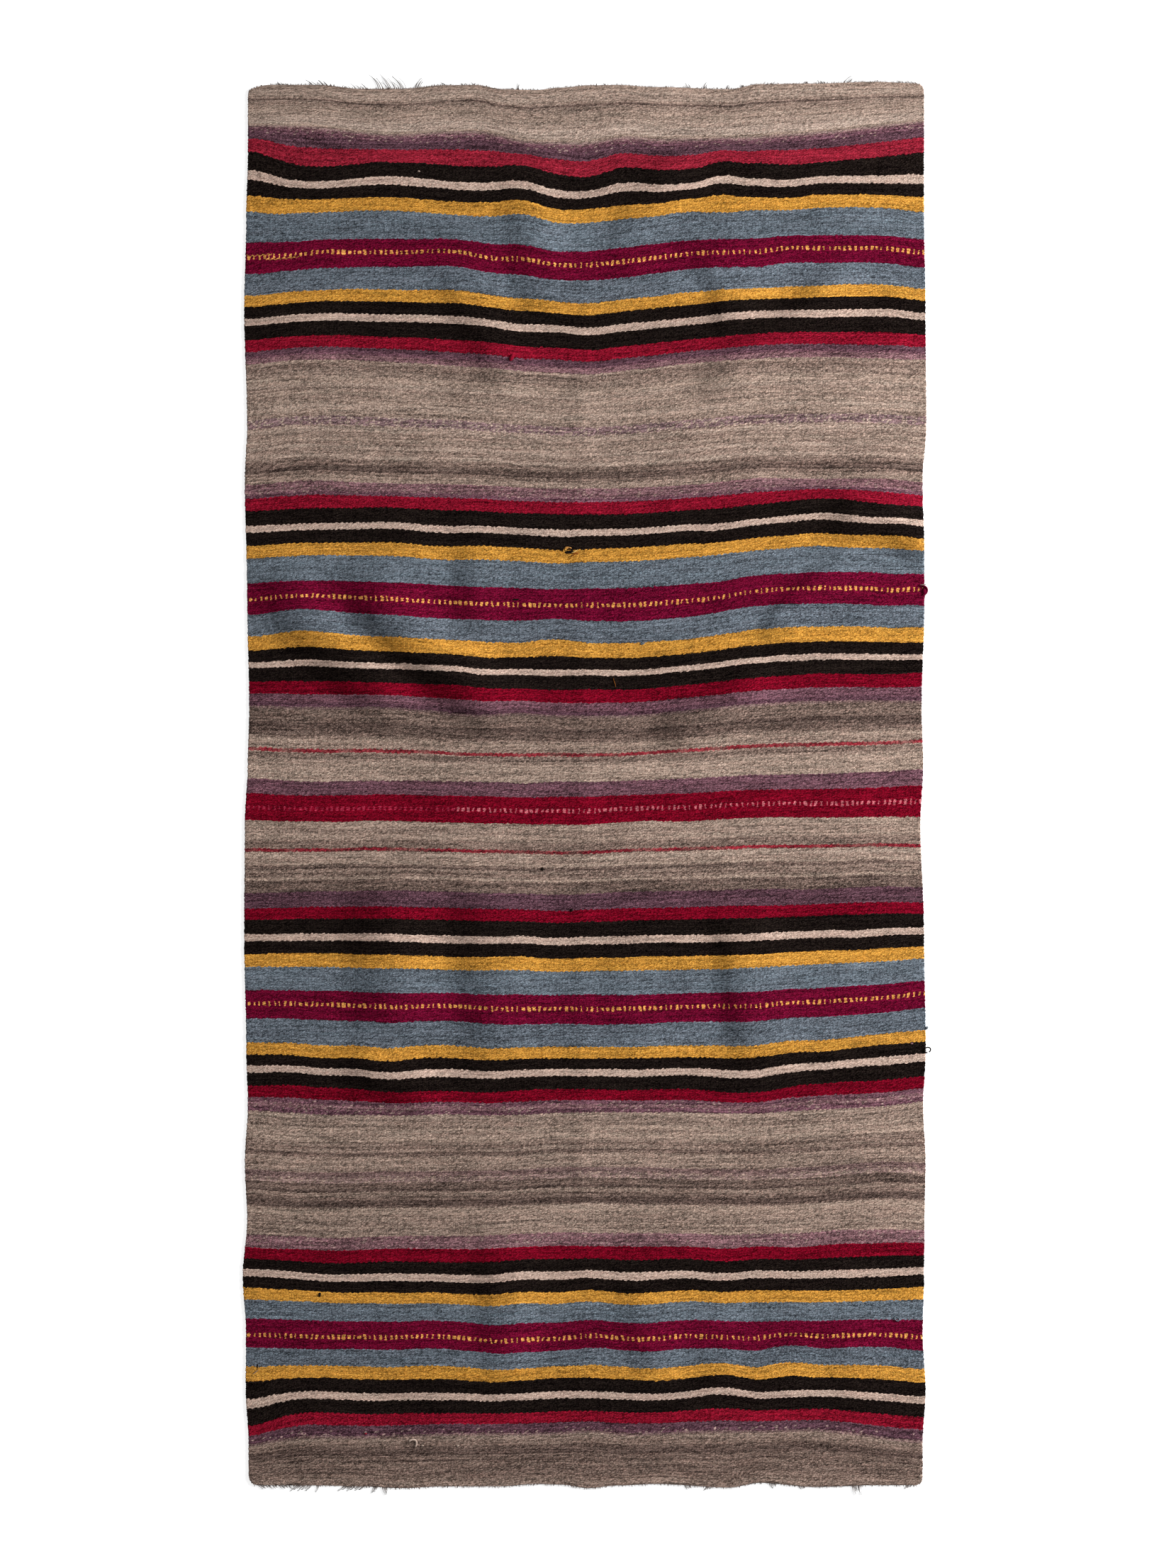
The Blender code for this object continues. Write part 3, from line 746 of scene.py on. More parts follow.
def nearest_on_path(path, x, y):
    """Distances from points to a path, the shares of the path's steps at which they are nearest, and how
    far the points lie from there along the easy way."""
    best_distance, best_share, best_aside = np.full(x.shape, np.inf), np.zeros(x.shape), np.zeros(x.shape)
    for index, (low, high) in enumerate(zip(path, path[1:])):
        run = high - low
        share = np.clip(((x - low[0]) * run[0] + (y - low[1]) * run[1]) / (run @ run), 0.0, 1.0)
        off_x, off_y = x - low[0] - run[0] * share, y - low[1] - run[1] * share
        distance = np.hypot(off_x, off_y)
        nearer = distance < best_distance
        best_distance = np.where(nearer, distance, best_distance)
        best_share = np.where(nearer, (index + share) / (len(path) - 1), best_share)
        aside = off_x * math.cos(EASY_WAY) + off_y * math.sin(EASY_WAY)
        best_aside = np.where(nearer, aside, best_aside)
    return best_distance, best_share, best_aside


def ripple_height(x, y):
    """How far the cloth stands off the floor at points. It is exactly 0 between the ripples."""
    height = np.zeros(x.shape)
    for ridge, path in zip(RIDGE_ROWS, RIDGE_PATHS):
        distance, share, aside = nearest_on_path(path, x, y)
        easy = ease(0.5 + aside / np.maximum(distance, TINY * MM))
        side = ridge["steep_side"] + (ridge["easy_side"] - ridge["steep_side"]) * easy
        off_crest = np.minimum(distance / (side * MM), 1.0)
        fade = ease(np.minimum(share, 1.0 - share) / RIDGE_FADE)
        height += ridge["height"] * MM * fade * (1.0 - off_crest ** 2) ** 2
    return height


def lumps(x, y):
    """The low unevenness of handwoven cloth, at points."""
    places = zip(x.flat, y.flat)
    flat = np.array([noise.noise((px / LUMP_SPACING, py / LUMP_SPACING, 0.0)) for px, py in places])
    return LUMP_HEIGHT * flat.reshape(x.shape)


def stations(length, gap):
    """Even stations from 0 to length, with more close to each end, where the rim turns over."""
    inner = np.linspace(0.0, length, int(length / gap) + 1)[1:-1]
    near = np.array(RIM_STATIONS)
    return np.concatenate([[0.0], near, inner, length - near[::-1], [length]])


def half_thickness(to_edge):
    """Half the cloth's thickness at these distances from its edge: round at the rim, then even."""
    share = 1.0 - np.clip(to_edge / RIM_RADIUS, 0.0, 1.0)
    return THICKNESS / 2 * np.maximum(np.sqrt(1.0 - share * share), RIM_LEAST_SHARE)


def loops_of(faces, values):
    """A map's values at each corner of the faces, from its values at the points."""
    return values[np.array(faces).reshape(-1)]


def add_mesh(name, points, faces, maps, materials):
    """Links a smooth mesh of quads as a named object. A map holds a pair for each face corner."""
    mesh = bpy.data.meshes.new(name)
    mesh.from_pydata(points, [], faces)
    for map_name, corners in maps.items():
        layer = mesh.uv_layers.new(name=map_name)
        layer.data.foreach_set("uv", np.asarray(corners, dtype=np.float32).reshape(-1))
    mesh.validate()
    for material in materials:
        mesh.materials.append(material)
    mesh.shade_smooth()
    obj = bpy.data.objects.new(name, mesh)
    bpy.context.scene.collection.objects.link(obj)
    return obj


def build_cloth(material):
    """The sheet of cloth: two faces that follow the ripples, and a rounded rim."""
    across = stations(WIDTH, COLUMN_GAP)
    down = stations(LENGTH, ROW_GAP)
    shares = across / WIDTH
    rows = [weft_row(BACK_END - from_back, shares) for from_back in down]
    x = np.array([row[0] for row in rows])
    y = np.array([row[1] for row in rows])
    half = np.minimum.outer(
        half_thickness(np.minimum(down, LENGTH - down)),
        half_thickness(np.minimum(across, WIDTH - across)),
    )
    middle = ripple_height(x, y) + THICKNESS / 2
    over = middle + half + lumps(x, y) * (half / (THICKNESS / 2))
    under = middle - half
    count = x.size
    points = np.concatenate([
        np.stack([x, y, over], axis=-1).reshape(-1, 3),
        np.stack([x, y, under], axis=-1).reshape(-1, 3),
    ])
    down_grid, across_grid = np.meshgrid(down, across, indexing="ij")
    weave = np.stack([across_grid, down_grid], axis=-1).reshape(-1, 2)
    spread = 1.0 - 2 * BAKE_MARGIN
    bake = BAKE_MARGIN + spread * weave / np.array([WIDTH, LENGTH])
    weave, bake = np.concatenate([weave, weave]), np.concatenate([bake, bake])

    grid = np.arange(count).reshape(x.shape)
    quads = np.stack([grid[1:, :-1], grid[1:, 1:], grid[:-1, 1:], grid[:-1, :-1]], axis=-1).reshape(-1, 4)
    under_quads = quads[:, ::-1] + count
    rim = np.concatenate([grid[-1, :-1], grid[:0:-1, -1], grid[0, :0:-1], grid[:-1, 0]])
    after = np.roll(rim, -1)
    rim_quads = np.stack([rim + count, after + count, after, rim], axis=-1)
    faces = np.concatenate([under_quads, quads, rim_quads])

    weave_corners, bake_corners = loops_of(faces, weave), loops_of(faces, bake)
    rim_start = 4 * (len(faces) - len(rim_quads))
    outwards = np.zeros((len(rim_quads), 4, 2))
    row_steps, column_steps = x.shape[0] - 1, x.shape[1] - 1
    ways = [(0, 1)] * column_steps + [(1, 0)] * row_steps
    ways += [(0, -1)] * column_steps + [(-1, 0)] * row_steps
    outwards[:, :2] = np.array(ways)[:, None]
    weave_corners[rim_start:] += (outwards * THICKNESS).reshape(-1, 2)
    bake_corners[rim_start:] += (outwards * BAKE_MARGIN).reshape(-1, 2)
    maps = {"Weave": weave_corners, "OFBake": bake_corners}
    return add_mesh("cloth_weave", points.tolist(), faces.tolist(), maps, [material])


# Loose threads, turns and knots

def tube(path, radii, sides):
    """The points and quads of a closed tube along a path. It has an even number of sides."""
    path, radii = np.array(path), np.array(radii)
    run = np.gradient(path, axis=0)
    run /= np.linalg.norm(run, axis=1)[:, None]
    aside = np.cross(run, (0.0, 0.0, 1.0))
    aside /= np.linalg.norm(aside, axis=1)[:, None]
    up = np.cross(aside, run)
    angles = np.linspace(0.0, 2 * math.pi, sides, endpoint=False)[None, :, None]
    ring = np.cos(angles) * aside[:, None] + np.sin(angles) * up[:, None]
    points = (path[:, None] + radii[:, None, None] * ring).reshape(-1, 3)
    faces = []
    for low in range(0, sides * (len(path) - 1), sides):
        for side in range(sides):
            after = (side + 1) % sides
            faces.append((low + side, low + side + sides, low + after + sides, low + after))
    last = sides * (len(path) - 1)
    for corner in range(1, sides - 1, 2):
        third = (corner + 2) % sides
        faces.append((0, corner, corner + 1, third))
        faces.append((last, last + third, last + corner + 1, last + corner))
    return points, np.array(faces)


def face_cells(count):
    """A map that gives every quad a square of its own, so that no two share a place in a bake."""
    across = math.ceil(math.sqrt(count))
    cell = np.arange(count)
    low = np.stack([cell % across, cell // across], axis=-1)[:, None, :]
    square = np.array([(0, 0), (1, 0), (1, 1), (0, 1)])[None]
    return ((low + FACE_CELL_MARGIN + (1 - 2 * FACE_CELL_MARGIN) * square) / across).reshape(-1, 2)


def join_parts(name, parts, material):
    """One object from parts. Each part is its points, its quads and its points' places in the weave."""
    points, faces, weave, count = [], [], [], 0
    for part_points, part_faces, part_weave in parts:
        points.append(part_points)
        faces.append(part_faces + count)
        weave.append(part_weave)
        count += len(part_points)
    points, faces, weave = np.concatenate(points), np.concatenate(faces), np.concatenate(weave)
    maps = {"Weave": loops_of(faces, weave), "OFBake": face_cells(len(faces))}
    return add_mesh(name, points.tolist(), faces.tolist(), maps, [material])


def end_line(end, x):
    """Y of the cloth's end at X."""
    out = float(read_between(END_LINE_ROWS, "across", np.array([x]), end + "_out")[0])
    return BACK_END + out if end == "back" else FRONT_END - out


def hair(rng, root, reach, lean, radius, outwards):
    """One loose hair, which curves away from the cloth's end and tapers to its tip."""
    root_x, root_y = root
    curl = rng.uniform(-HAIR_CURL, HAIR_CURL)
    low = radius + rng.uniform(0.0, HAIR_LIFT_MM) * MM
    path, radii, weave = [], [], []
    for step in range(HAIR_STEPS):
        share = step / (HAIR_STEPS - 1)
        along = -HAIR_ROOT_DEPTH + (reach + HAIR_ROOT_DEPTH) * share
        bow = curl * math.sin(math.pi * share) * min(1.0, reach / HAIR_CURL_REACH)
        aside = lean * share ** HAIR_BEND + bow
        height = low + (THICKNESS / 2 - low) * (1.0 - share) ** 2
        path.append((root_x + aside, root_y + outwards * along, height))
        radii.append(radius * (1.0 - HAIR_TIP_THINNING * share))
        weave.extend([(root_x, share * min(1.0, reach / HAIR_FULL_REACH))] * HAIR_SIDES)
    points, faces = tube(path, radii, HAIR_SIDES)
    return points, faces, np.array(weave)


def build_warp_ends(end, hairs_per_strand, material):
    """The loose warp ends past one end of the cloth: worn stubs, and tufts of longer hairs."""
    rng = random.Random("warp ends at the " + end)
    outwards = 1.0 if end == "back" else -1.0
    parts = []
    x = -HALF_WIDTH + CORNER_ROWS[("left", end)]["turn_in"] * MM
    while x < HALF_WIDTH - CORNER_ROWS[("right", end)]["turn_in"] * MM:
        reach = STUB_REACH[0] + (STUB_REACH[1] - STUB_REACH[0]) * rng.random() ** STUB_SHORTNESS
        lean = rng.uniform(-1.0, 1.0) * reach
        radius = STUB_RADIUS * rng.uniform(*STUB_THICKNESSES)
        parts.append(hair(rng, (x, end_line(end, x)), reach, lean, radius, outwards))
        x += STUB_GAP * rng.uniform(*STUB_GAPS)
    for tuft in TUFT_ROWS:
        if tuft["end"] != end:
            continue
        for index in range(tuft["strands"]):
            place = (index + 0.5) / tuft["strands"] - 0.5
            shorter = STRAND_LENGTHS_IN_TURN[index % len(STRAND_LENGTHS_IN_TURN)]
            strand_x = (tuft["across"] + tuft["spread"] * place) * MM
            lean = tuft["lean"] * HAIR_LEAN_GAIN * shorter * MM
            for _ in range(hairs_per_strand):
                root_x = strand_x + rng.uniform(-0.5, 0.5) * HAIR_ROOT_SPREAD
                tip_x = strand_x + rng.uniform(-0.5, 0.5) * HAIR_TIP_SPREAD + lean
                reach = tuft["reach"] * shorter * rng.uniform(*HAIR_LENGTHS) * MM
                root = (root_x, end_line(end, root_x))
                radius = HAIR_RADIUS * rng.uniform(*HAIR_THICKNESSES)
                parts.append(hair(rng, root, reach, tip_x - root_x, radius, outwards))
    return join_parts("warp_ends_" + end, parts, material)


def build_turns(side, material):
    """The turns of the weft round the last warp, one for each row of beads down a selvedge."""
    rng = random.Random("turns at the " + side)
    share, inwards = (0.0, 1.0) if side == "left" else (1.0, -1.0)
    rows = np.arange(BEAD, LENGTH - BEAD, BEAD)
    places = np.array([weft_row(BACK_END - from_back, np.array([share])) for from_back in rows])[:, :, 0]
    floors = ripple_height(places[:, 0], places[:, 1])
    half = BEAD * TURN_OVERLAP / 2
    parts = []
    for from_back, (edge, y), floor in zip(rows, places, floors):
        radius, tilt = rng.uniform(*TURN_RADIUS), rng.uniform(-TURN_TILT, TURN_TILT)
        x = edge + inwards * (TURN_INSET + rng.uniform(-1.0, 1.0) * TURN_WANDER)
        z = floor + max(radius, THICKNESS / 2)
        path = [(x + tilt * s * half, y - s * half, z) for s in TURN_STATIONS]
        points, faces = tube(path, [radius * s for s in TURN_PROFILE], TURN_SIDES)
        weave = np.stack([share * WIDTH + points[:, 0] - x, from_back + y - points[:, 1]], axis=-1)
        parts.append((points, faces, weave))
    return join_parts("turns_" + side, parts, material)


def lump_path(length, width):
    """A pill: a round body that tapers to both ends."""
    shares = np.linspace(-LUMP_SPAN, LUMP_SPAN, LUMP_RINGS)
    path = [(s * length / 2, 0.0, 0.0) for s in shares]
    return path, [width / 2 * math.sqrt(1.0 - s * s) for s in shares]


def loop_path(length, width, sweep):
    """A loop of yarn, or an arc of one, that stands up a little. Its two ends are sunk in the cloth."""
    radius, path = length * LOOP_YARN_SHARE, []
    for angle in np.linspace(math.radians(sweep[0]), math.radians(sweep[1]), LOOP_RINGS):
        rise = radius * (LOOP_FOOT + LOOP_ARCH * max(0.0, math.sin(angle)))
        path.append((math.cos(angle) * length / 2, math.sin(angle) * width / 2, rise))
    return path, [radius] * LOOP_RINGS


def thread_path(length, width):
    """A thread that lies on the face in a slight curve."""
    shares = np.linspace(-1.0, 1.0, THREAD_RINGS)
    bow = THREAD_BOW * length
    path = [(s * length / 2, bow * math.sin(THREAD_BEND * s), width * THREAD_LIFT) for s in shares]
    return path, [width / 2 * (THREAD_THICKNESS - THREAD_TAPER * abs(s)) for s in shares]


def place_bit(bit, rng):
    """The points and quads of one small knot, pill, loop or thread, set on the face of the cloth."""
    length, width = bit["length"] * MM, bit["width"] * MM
    if bit["kind"] in ("loop", "arc"):
        path, radii = loop_path(length, width, LOOP_SWEEP if bit["kind"] == "loop" else ARC_SWEEP)
    elif bit["kind"] == "thread":
        path, radii = thread_path(length, width)
    else:
        path, radii = lump_path(length, width)
    points, faces = tube(path, radii, BIT_SIDES)
    if bit["kind"] == "lump":
        points *= np.array([[rng.uniform(*LUMP_STRETCH), rng.uniform(*LUMP_STRETCH), LUMP_FLATNESS]])
        rough = [[rng.uniform(-1.0, 1.0) for _ in range(3)] for _ in points]
        points += np.array(rough) * LUMP_ROUGHNESS
    if bit["kind"] == "hollow":
        points[:, 2] *= HOLLOW_FLATNESS
    turn = math.radians(bit["turn"])
    x = points[:, 0] * math.cos(turn) - points[:, 1] * math.sin(turn)
    y = points[:, 0] * math.sin(turn) + points[:, 1] * math.cos(turn)
    x = x + (bit["pixel_x"] - PHOTO_MIDDLE_X) * PIXEL
    y = y + (PHOTO_MIDDLE_Y - bit["pixel_y"]) * PIXEL
    z = points[:, 2] + ripple_height(x, y) + THICKNESS
    return np.stack([x, y, z], axis=-1), faces, np.stack([x, y], axis=-1)


def build_bits():
    """The small knots, pills, loops and threads, joined by their yarn."""
    rng = random.Random("small knots and loops")
    bits = named(BIT_COLUMNS, BITS)
    made = []
    for yarn in dict.fromkeys(bit["yarn"] for bit in bits):
        parts = [place_bit(bit, rng) for bit in bits if bit["yarn"] == yarn]
        wool = spun_wool("spun_" + yarn, yarn)
        made.append(join_parts("loose_" + yarn.replace(" ", "_"), parts, wool))
    return made


# Materials

def to_linear(level):
    """A colour level from 0 to 255, as linear light."""
    level /= 255.0
    return level / 12.92 if level <= 0.04045 else ((level + 0.055) / 1.055) ** 2.4


def yarn_colour(name):
    """A yarn's colour, as the share of the light that it sends back."""
    yarn = YARN_ROWS[name]
    return tuple(to_linear(yarn[key]) / LIGHT_LEVEL for key in ("red", "green", "blue"))


def opaque(name):
    """A yarn's colour as a colour socket takes it."""
    return (*yarn_colour(name), 1.0)


class Graph:
    """Short ways of adding nodes to a material."""

    def __init__(self, name):
        self.material = bpy.data.materials.new(name)
        self.material.use_nodes = True
        self.tree = self.material.node_tree
        self.shader = self.tree.nodes["Principled BSDF"]

    def put(self, socket, value):
        """Links a socket to another, or sets its value."""
        if isinstance(value, bpy.types.NodeSocket):
            self.tree.links.new(value, socket)
        else:
            socket.default_value = value

    def node(self, kind, *values, **settings):
        """A new node with these settings, and with these values in its first sockets."""
        made = self.tree.nodes.new(kind)
        for key, value in settings.items():
            setattr(made, key, value)
        for socket, value in zip(made.inputs, values):
            self.put(socket, value)
        return made

    def math(self, operation, *values):
        return self.node("ShaderNodeMath", *values, operation=operation).outputs[0]

    def vector(self, operation, *values):
        return self.node("ShaderNodeVectorMath", *values, operation=operation).outputs[0]

    def chain(self, operation, total, *values):
        """One operation, done with each value in turn."""
        for value in values:
            total = self.math(operation, total, value)
        return total

    def add(self, *values):
        return self.chain("ADD", *values)

    def times(self, *values):
        return self.chain("MULTIPLY", *values)

    def less(self, a, b):
        return self.math("SUBTRACT", a, b)

    def over(self, a, b):
        return self.math("DIVIDE", a, b)

    def whole(self, value):
        return self.math("FLOOR", value)

    def spread(self, value, amount):
        """A value between 0 and 1, turned into one between -amount and amount."""
        return self.times(self.less(value, 0.5), 2.0 * amount)

    def blend(self, factor, a, b):
        """Colour a where the factor is 0, and b where it is 1."""
        made = self.node("ShaderNodeMix", data_type="RGBA")
        self.put(made.inputs["Factor"], factor)
        self.put(made.inputs[6], a)
        self.put(made.inputs[7], b)
        return made.outputs[2]

    def triple(self, x, y, z):
        return self.node("ShaderNodeCombineXYZ", x, y, z).outputs[0]

    def pair(self, x, y):
        return self.triple(x, y, 0.0)

    def clamp(self, value):
        """A value kept between 0 and 1."""
        return self.math("MINIMUM", 1.0, self.math("MAXIMUM", 0.0, value))

    def cloud(self, x, y, detail=1.0):
        """Soft noise in two directions, whose mean is 0.5."""
        made = self.node("ShaderNodeTexNoise", self.pair(x, y), noise_dimensions="2D")
        self.put(made.inputs["Scale"], 1.0)
        self.put(made.inputs["Detail"], detail)
        return made.outputs[0]

    def chance(self, x, y):
        """A random value from 0 to 1 for each whole pair."""
        made = self.node("ShaderNodeTexWhiteNoise", self.pair(x, y), noise_dimensions="2D")
        return made.outputs["Value"]

    def bump(self, height, distance, below=None):
        """A surface raised by a height, over another such surface if there is one."""
        made = self.node("ShaderNodeBump")
        self.put(made.inputs["Height"], height)
        self.put(made.inputs["Distance"], distance)
        if below is not None:
            self.put(made.inputs["Normal"], below)
        return made.outputs[0]

    def finish(self, colour, roughness):
        """Sets the colour and roughness of a surface without gloss."""
        self.put(self.shader.inputs["Base Color"], colour)
        self.put(self.shader.inputs["Roughness"], roughness)
        self.put(self.shader.inputs["Specular IOR Level"], 0.0)
        return self.material


def stripe_yarn(graph, from_back):
    """The colour of the yarn woven at a place, and its heather. Each ramp holds a few stripes, because
    a ramp is read in 256 steps, and over a short stretch such a step is finer than a pick."""
    colour, heather = None, None
    for first in range(0, len(STRIPE_ROWS), RAMP_STRIPES):
        chunk = STRIPE_ROWS[first:first + RAMP_STRIPES]
        start = chunk[0]["from_back"] * MM
        after = STRIPE_ROWS[first + RAMP_STRIPES:first + RAMP_STRIPES + 1]
        end = after[0]["from_back"] * MM if after else LENGTH
        ramp = graph.node("ShaderNodeValToRGB")
        ramp.color_ramp.interpolation = "CONSTANT"
        stops = ramp.color_ramp.elements
        stops.remove(stops[1])
        for index, row in enumerate(chunk):
            position = (row["from_back"] * MM - start) / (end - start)
            stop = stops.new(position) if index else stops[0]
            stop.position = position
            stop.color = (*yarn_colour(row["yarn"]), YARN_ROWS[row["yarn"]]["heather"])
        graph.put(ramp.inputs[0], graph.over(graph.less(from_back, start), end - start))
        if colour is None:
            colour, heather = ramp.outputs[0], ramp.outputs[1]
        else:
            past = graph.math("GREATER_THAN", from_back, start)
            colour = graph.blend(past, colour, ramp.outputs[0])
            heather = graph.add(
                graph.times(heather, graph.less(1.0, past)),
                graph.times(ramp.outputs[1], past),
            )
    return colour, heather


def inside(graph, value, centre, height):
    """1 where a value lies within a height around a centre, or else 0."""
    return graph.math("LESS_THAN", graph.math("ABSOLUTE", graph.less(value, centre)), height / 2)


def split(graph, vector):
    """The three parts of a vector or colour."""
    return tuple(graph.node("ShaderNodeSeparateXYZ", vector).outputs)


def patches(graph, u, v, across, along, detail=1.0, shift=0.0):
    """Soft noise whose patches are this many millimetres across and along the blanket. It is sheared, so
    that the noise's own columns don't line up."""
    down = graph.times(v, 1.0 / (along * MM))
    sideways = graph.add(graph.times(u, 1.0 / (across * MM)), graph.times(down, NOISE_SHEAR), shift)
    return graph.cloud(sideways, down, detail)


def lay_beads(graph, u, v):
    """The beads of weft over the ribs. On each rib they lie half a bead further down than on the rib
    before, and neither the ribs nor the rows lie quite true."""
    weave = {}
    rib_wander = graph.spread(patches(graph, u, v, *RIB_WANDER_PATCHES), RIB_WANDER)
    fine_noise = patches(graph, u, v, *FINE_WANDER_PATCHES, shift=FINE_WANDER_SHIFT)
    weave["v"] = graph.add(
        v,
        graph.spread(patches(graph, u, v, *SLOW_WANDER_PATCHES), SLOW_ROW_WANDER),
        graph.spread(fine_noise, FINE_ROW_WANDER),
    )
    ribs = graph.over(graph.add(u, rib_wander), RIB)
    rows = graph.over(weave["v"], BEAD)
    turns = graph.times(graph.less(ribs, BEAD_SEAM), 2 * math.pi)
    stagger = graph.add(ribs, graph.times(graph.math("SINE", turns), 0.5 / math.pi))
    stepped = graph.add(rows, graph.times(stagger, 0.5))
    beads = graph.node("ShaderNodeTexVoronoi", graph.pair(ribs, stepped), voronoi_dimensions="2D")
    graph.put(beads.inputs["Scale"], 1.0)
    graph.put(beads.inputs["Randomness"], BEAD_UNEVENNESS)
    centre_x, centre_y, _ = split(graph, beads.outputs["Position"])
    rib = graph.whole(graph.add(centre_x, TINY))
    weave["ribs"] = ribs
    weave["row"] = graph.less(graph.whole(graph.add(centre_y, TINY)), graph.times(rib, 0.5))
    off_x = graph.times(graph.less(ribs, centre_x), BEAD_NARROWNESS)
    off_y = graph.times(graph.less(stepped, centre_y), BEAD_FLATNESS)
    off_centre = graph.add(graph.times(off_x, off_x), graph.times(off_y, off_y))
    weave["roundness"] = graph.less(1.0, graph.math("MINIMUM", off_centre, 1.0))
    weave["chances"] = split(graph, beads.outputs["Color"])
    return weave


def dot_shapes(graph, ribs, off_row):
    """The share of a second yarn in a row of small woven dots, one on every second rib, each with its own
    size, waist and slant."""
    pairs = graph.times(ribs, 0.5)
    number = graph.whole(pairs)
    chance = {name: graph.chance(number, seed) for name, seed in DOT_CHANCES.items()}
    shift = graph.spread(chance["shift"], DOT_SHIFT)
    aside = graph.less(graph.less(pairs, number), graph.add(0.5, shift))
    slant = graph.spread(chance["slant"], DOT_SLANT)
    waist = graph.times(chance["waist"], DOT_WAIST)
    crowds = graph.cloud(graph.times(number, DOT_CROWDS_PER_DOT), off_row)
    crowding = graph.spread(crowds, DOT_CROWDING)
    width = graph.add(DOT_HALF_WIDTH, crowding, graph.spread(chance["width"], DOT_WIDTH_UNEVENNESS))
    half_height = graph.add(DOT_HALF_HEIGHT, graph.spread(chance["height"], DOT_UNEVENNESS))
    along = graph.over(off_row, half_height)
    bumps = graph.cloud(graph.times(ribs, DOT_BUMPS_PER_RIB), graph.times(off_row, DOT_BUMPS_PER_METRE))
    rough = graph.spread(bumps, DOT_ROUGHNESS)
    away = graph.add(graph.less(aside, graph.times(slant, along)), rough)
    waisted = graph.less(width, graph.times(waist, graph.less(1.0, graph.math("ABSOLUTE", along))))
    across = graph.over(away, graph.math("MAXIMUM", waisted, DOT_LEAST_HALF_WIDTH))
    reach = graph.add(graph.times(across, across, across, across), graph.times(along, along, along, along))
    return graph.clamp(graph.times(graph.less(DOT_REACH, reach), DOT_SOFTNESS))


def wool_tone(graph, u, v, weave, heather):
    """How light the wool is at a place beside its yarn: each bead, the run of each thread, and layers of
    streaks, patches and loose fibres."""
    sideways, down = (graph.times(weave["row"], step) for step in THREAD_STEPS)
    threads = graph.cloud(graph.add(graph.times(u, THREAD_PATCHES_PER_METRE), sideways), down)
    tone = graph.add(graph.spread(weave["chances"][0], BEAD_TONE), graph.spread(threads, THREAD_TONE))
    for layer in named(TONE_COLUMNS, TONES):
        cloud = patches(graph, u, weave["v"], layer["across"], layer["along"], layer["detail"])
        tone = graph.add(tone, graph.spread(cloud, layer["strength"]))
    return graph.math("MAXIMUM", graph.add(1.0, graph.times(heather, tone)), LEAST_TONE)


def scale_colour(graph, colour, factor):
    """A colour made lighter or darker."""
    scaled = graph.node("ShaderNodeVectorMath", colour, operation="SCALE")
    graph.put(scaled.inputs["Scale"], factor)
    return scaled.outputs[0]


def woven_colour(graph, u, v, weave):
    """The colour of the yarn at a place, with its dots, hairlines and a lean to one hue or another."""
    by_row = graph.times(graph.add(weave["row"], 0.5), BEAD)
    from_back = graph.add(
        graph.times(by_row, EDGE_RAGGEDNESS),
        graph.times(weave["v"], 1.0 - EDGE_RAGGEDNESS),
    )
    colour, heather = stripe_yarn(graph, from_back)
    for dots in named(DOT_COLUMNS, DOT_ROWS):
        shown = dot_shapes(graph, weave["ribs"], graph.less(weave["v"], dots["from_back"] * MM))
        shown = graph.times(shown, graph.math("GREATER_THAN", u, dots["from_left"] * MM))
        colour = graph.blend(shown, colour, opaque(dots["yarn"]))
    wave = graph.times(graph.math("SINE", graph.times(weave["ribs"], math.pi)), LINK_WAVE)
    for link in named(LINK_COLUMNS, LINKS):
        in_link = inside(graph, graph.add(weave["v"], wave), link["from_back"] * MM, LINK_HEIGHT)
        middle, length = (link["start"] + link["end"]) / 2 * MM, (link["end"] - link["start"]) * MM
        chance = graph.chance(weave["row"], LINK_CHANCE)
        shown = graph.times(in_link, inside(graph, u, middle, length), chance, LINK_STRENGTH)
        colour = graph.blend(graph.clamp(shown), colour, opaque("amber"))
    for fleck in named(FLECK_COLUMNS, FLECKS):
        in_rows = inside(graph, from_back, fleck["from_back"] * MM, fleck["height"] * MM)
        pale = graph.math("LESS_THAN", weave["chances"][2], fleck["share"])
        shown = graph.times(in_rows, pale, weave["roundness"])
        colour = graph.blend(shown, colour, opaque(fleck["yarn"]))
    for line in named(HAIRLINE_COLUMNS, HAIRLINES):
        in_line = inside(graph, from_back, line["from_back"] * MM, line["height"] * MM)
        worn = graph.cloud(graph.times(u, HAIRLINE_PATCHES_PER_METRE), line["from_back"])
        strength = graph.math("MINIMUM", HAIRLINE_MOST, graph.times(worn, HAIRLINE_STRENGTH))
        colour = graph.blend(graph.times(in_line, strength), colour, opaque("red"))
    hues = graph.cloud(graph.times(u, HUE_PATCHES_PER_METRE), graph.times(weave["row"], HUE_STEP))
    hue = graph.spread(hues, HUE_LEAN)
    cooler = graph.less(1.0, graph.times(hue, HUE_COOL_SHARE))
    return graph.vector("MULTIPLY", colour, graph.triple(graph.add(1.0, hue), cooler, cooler)), heather


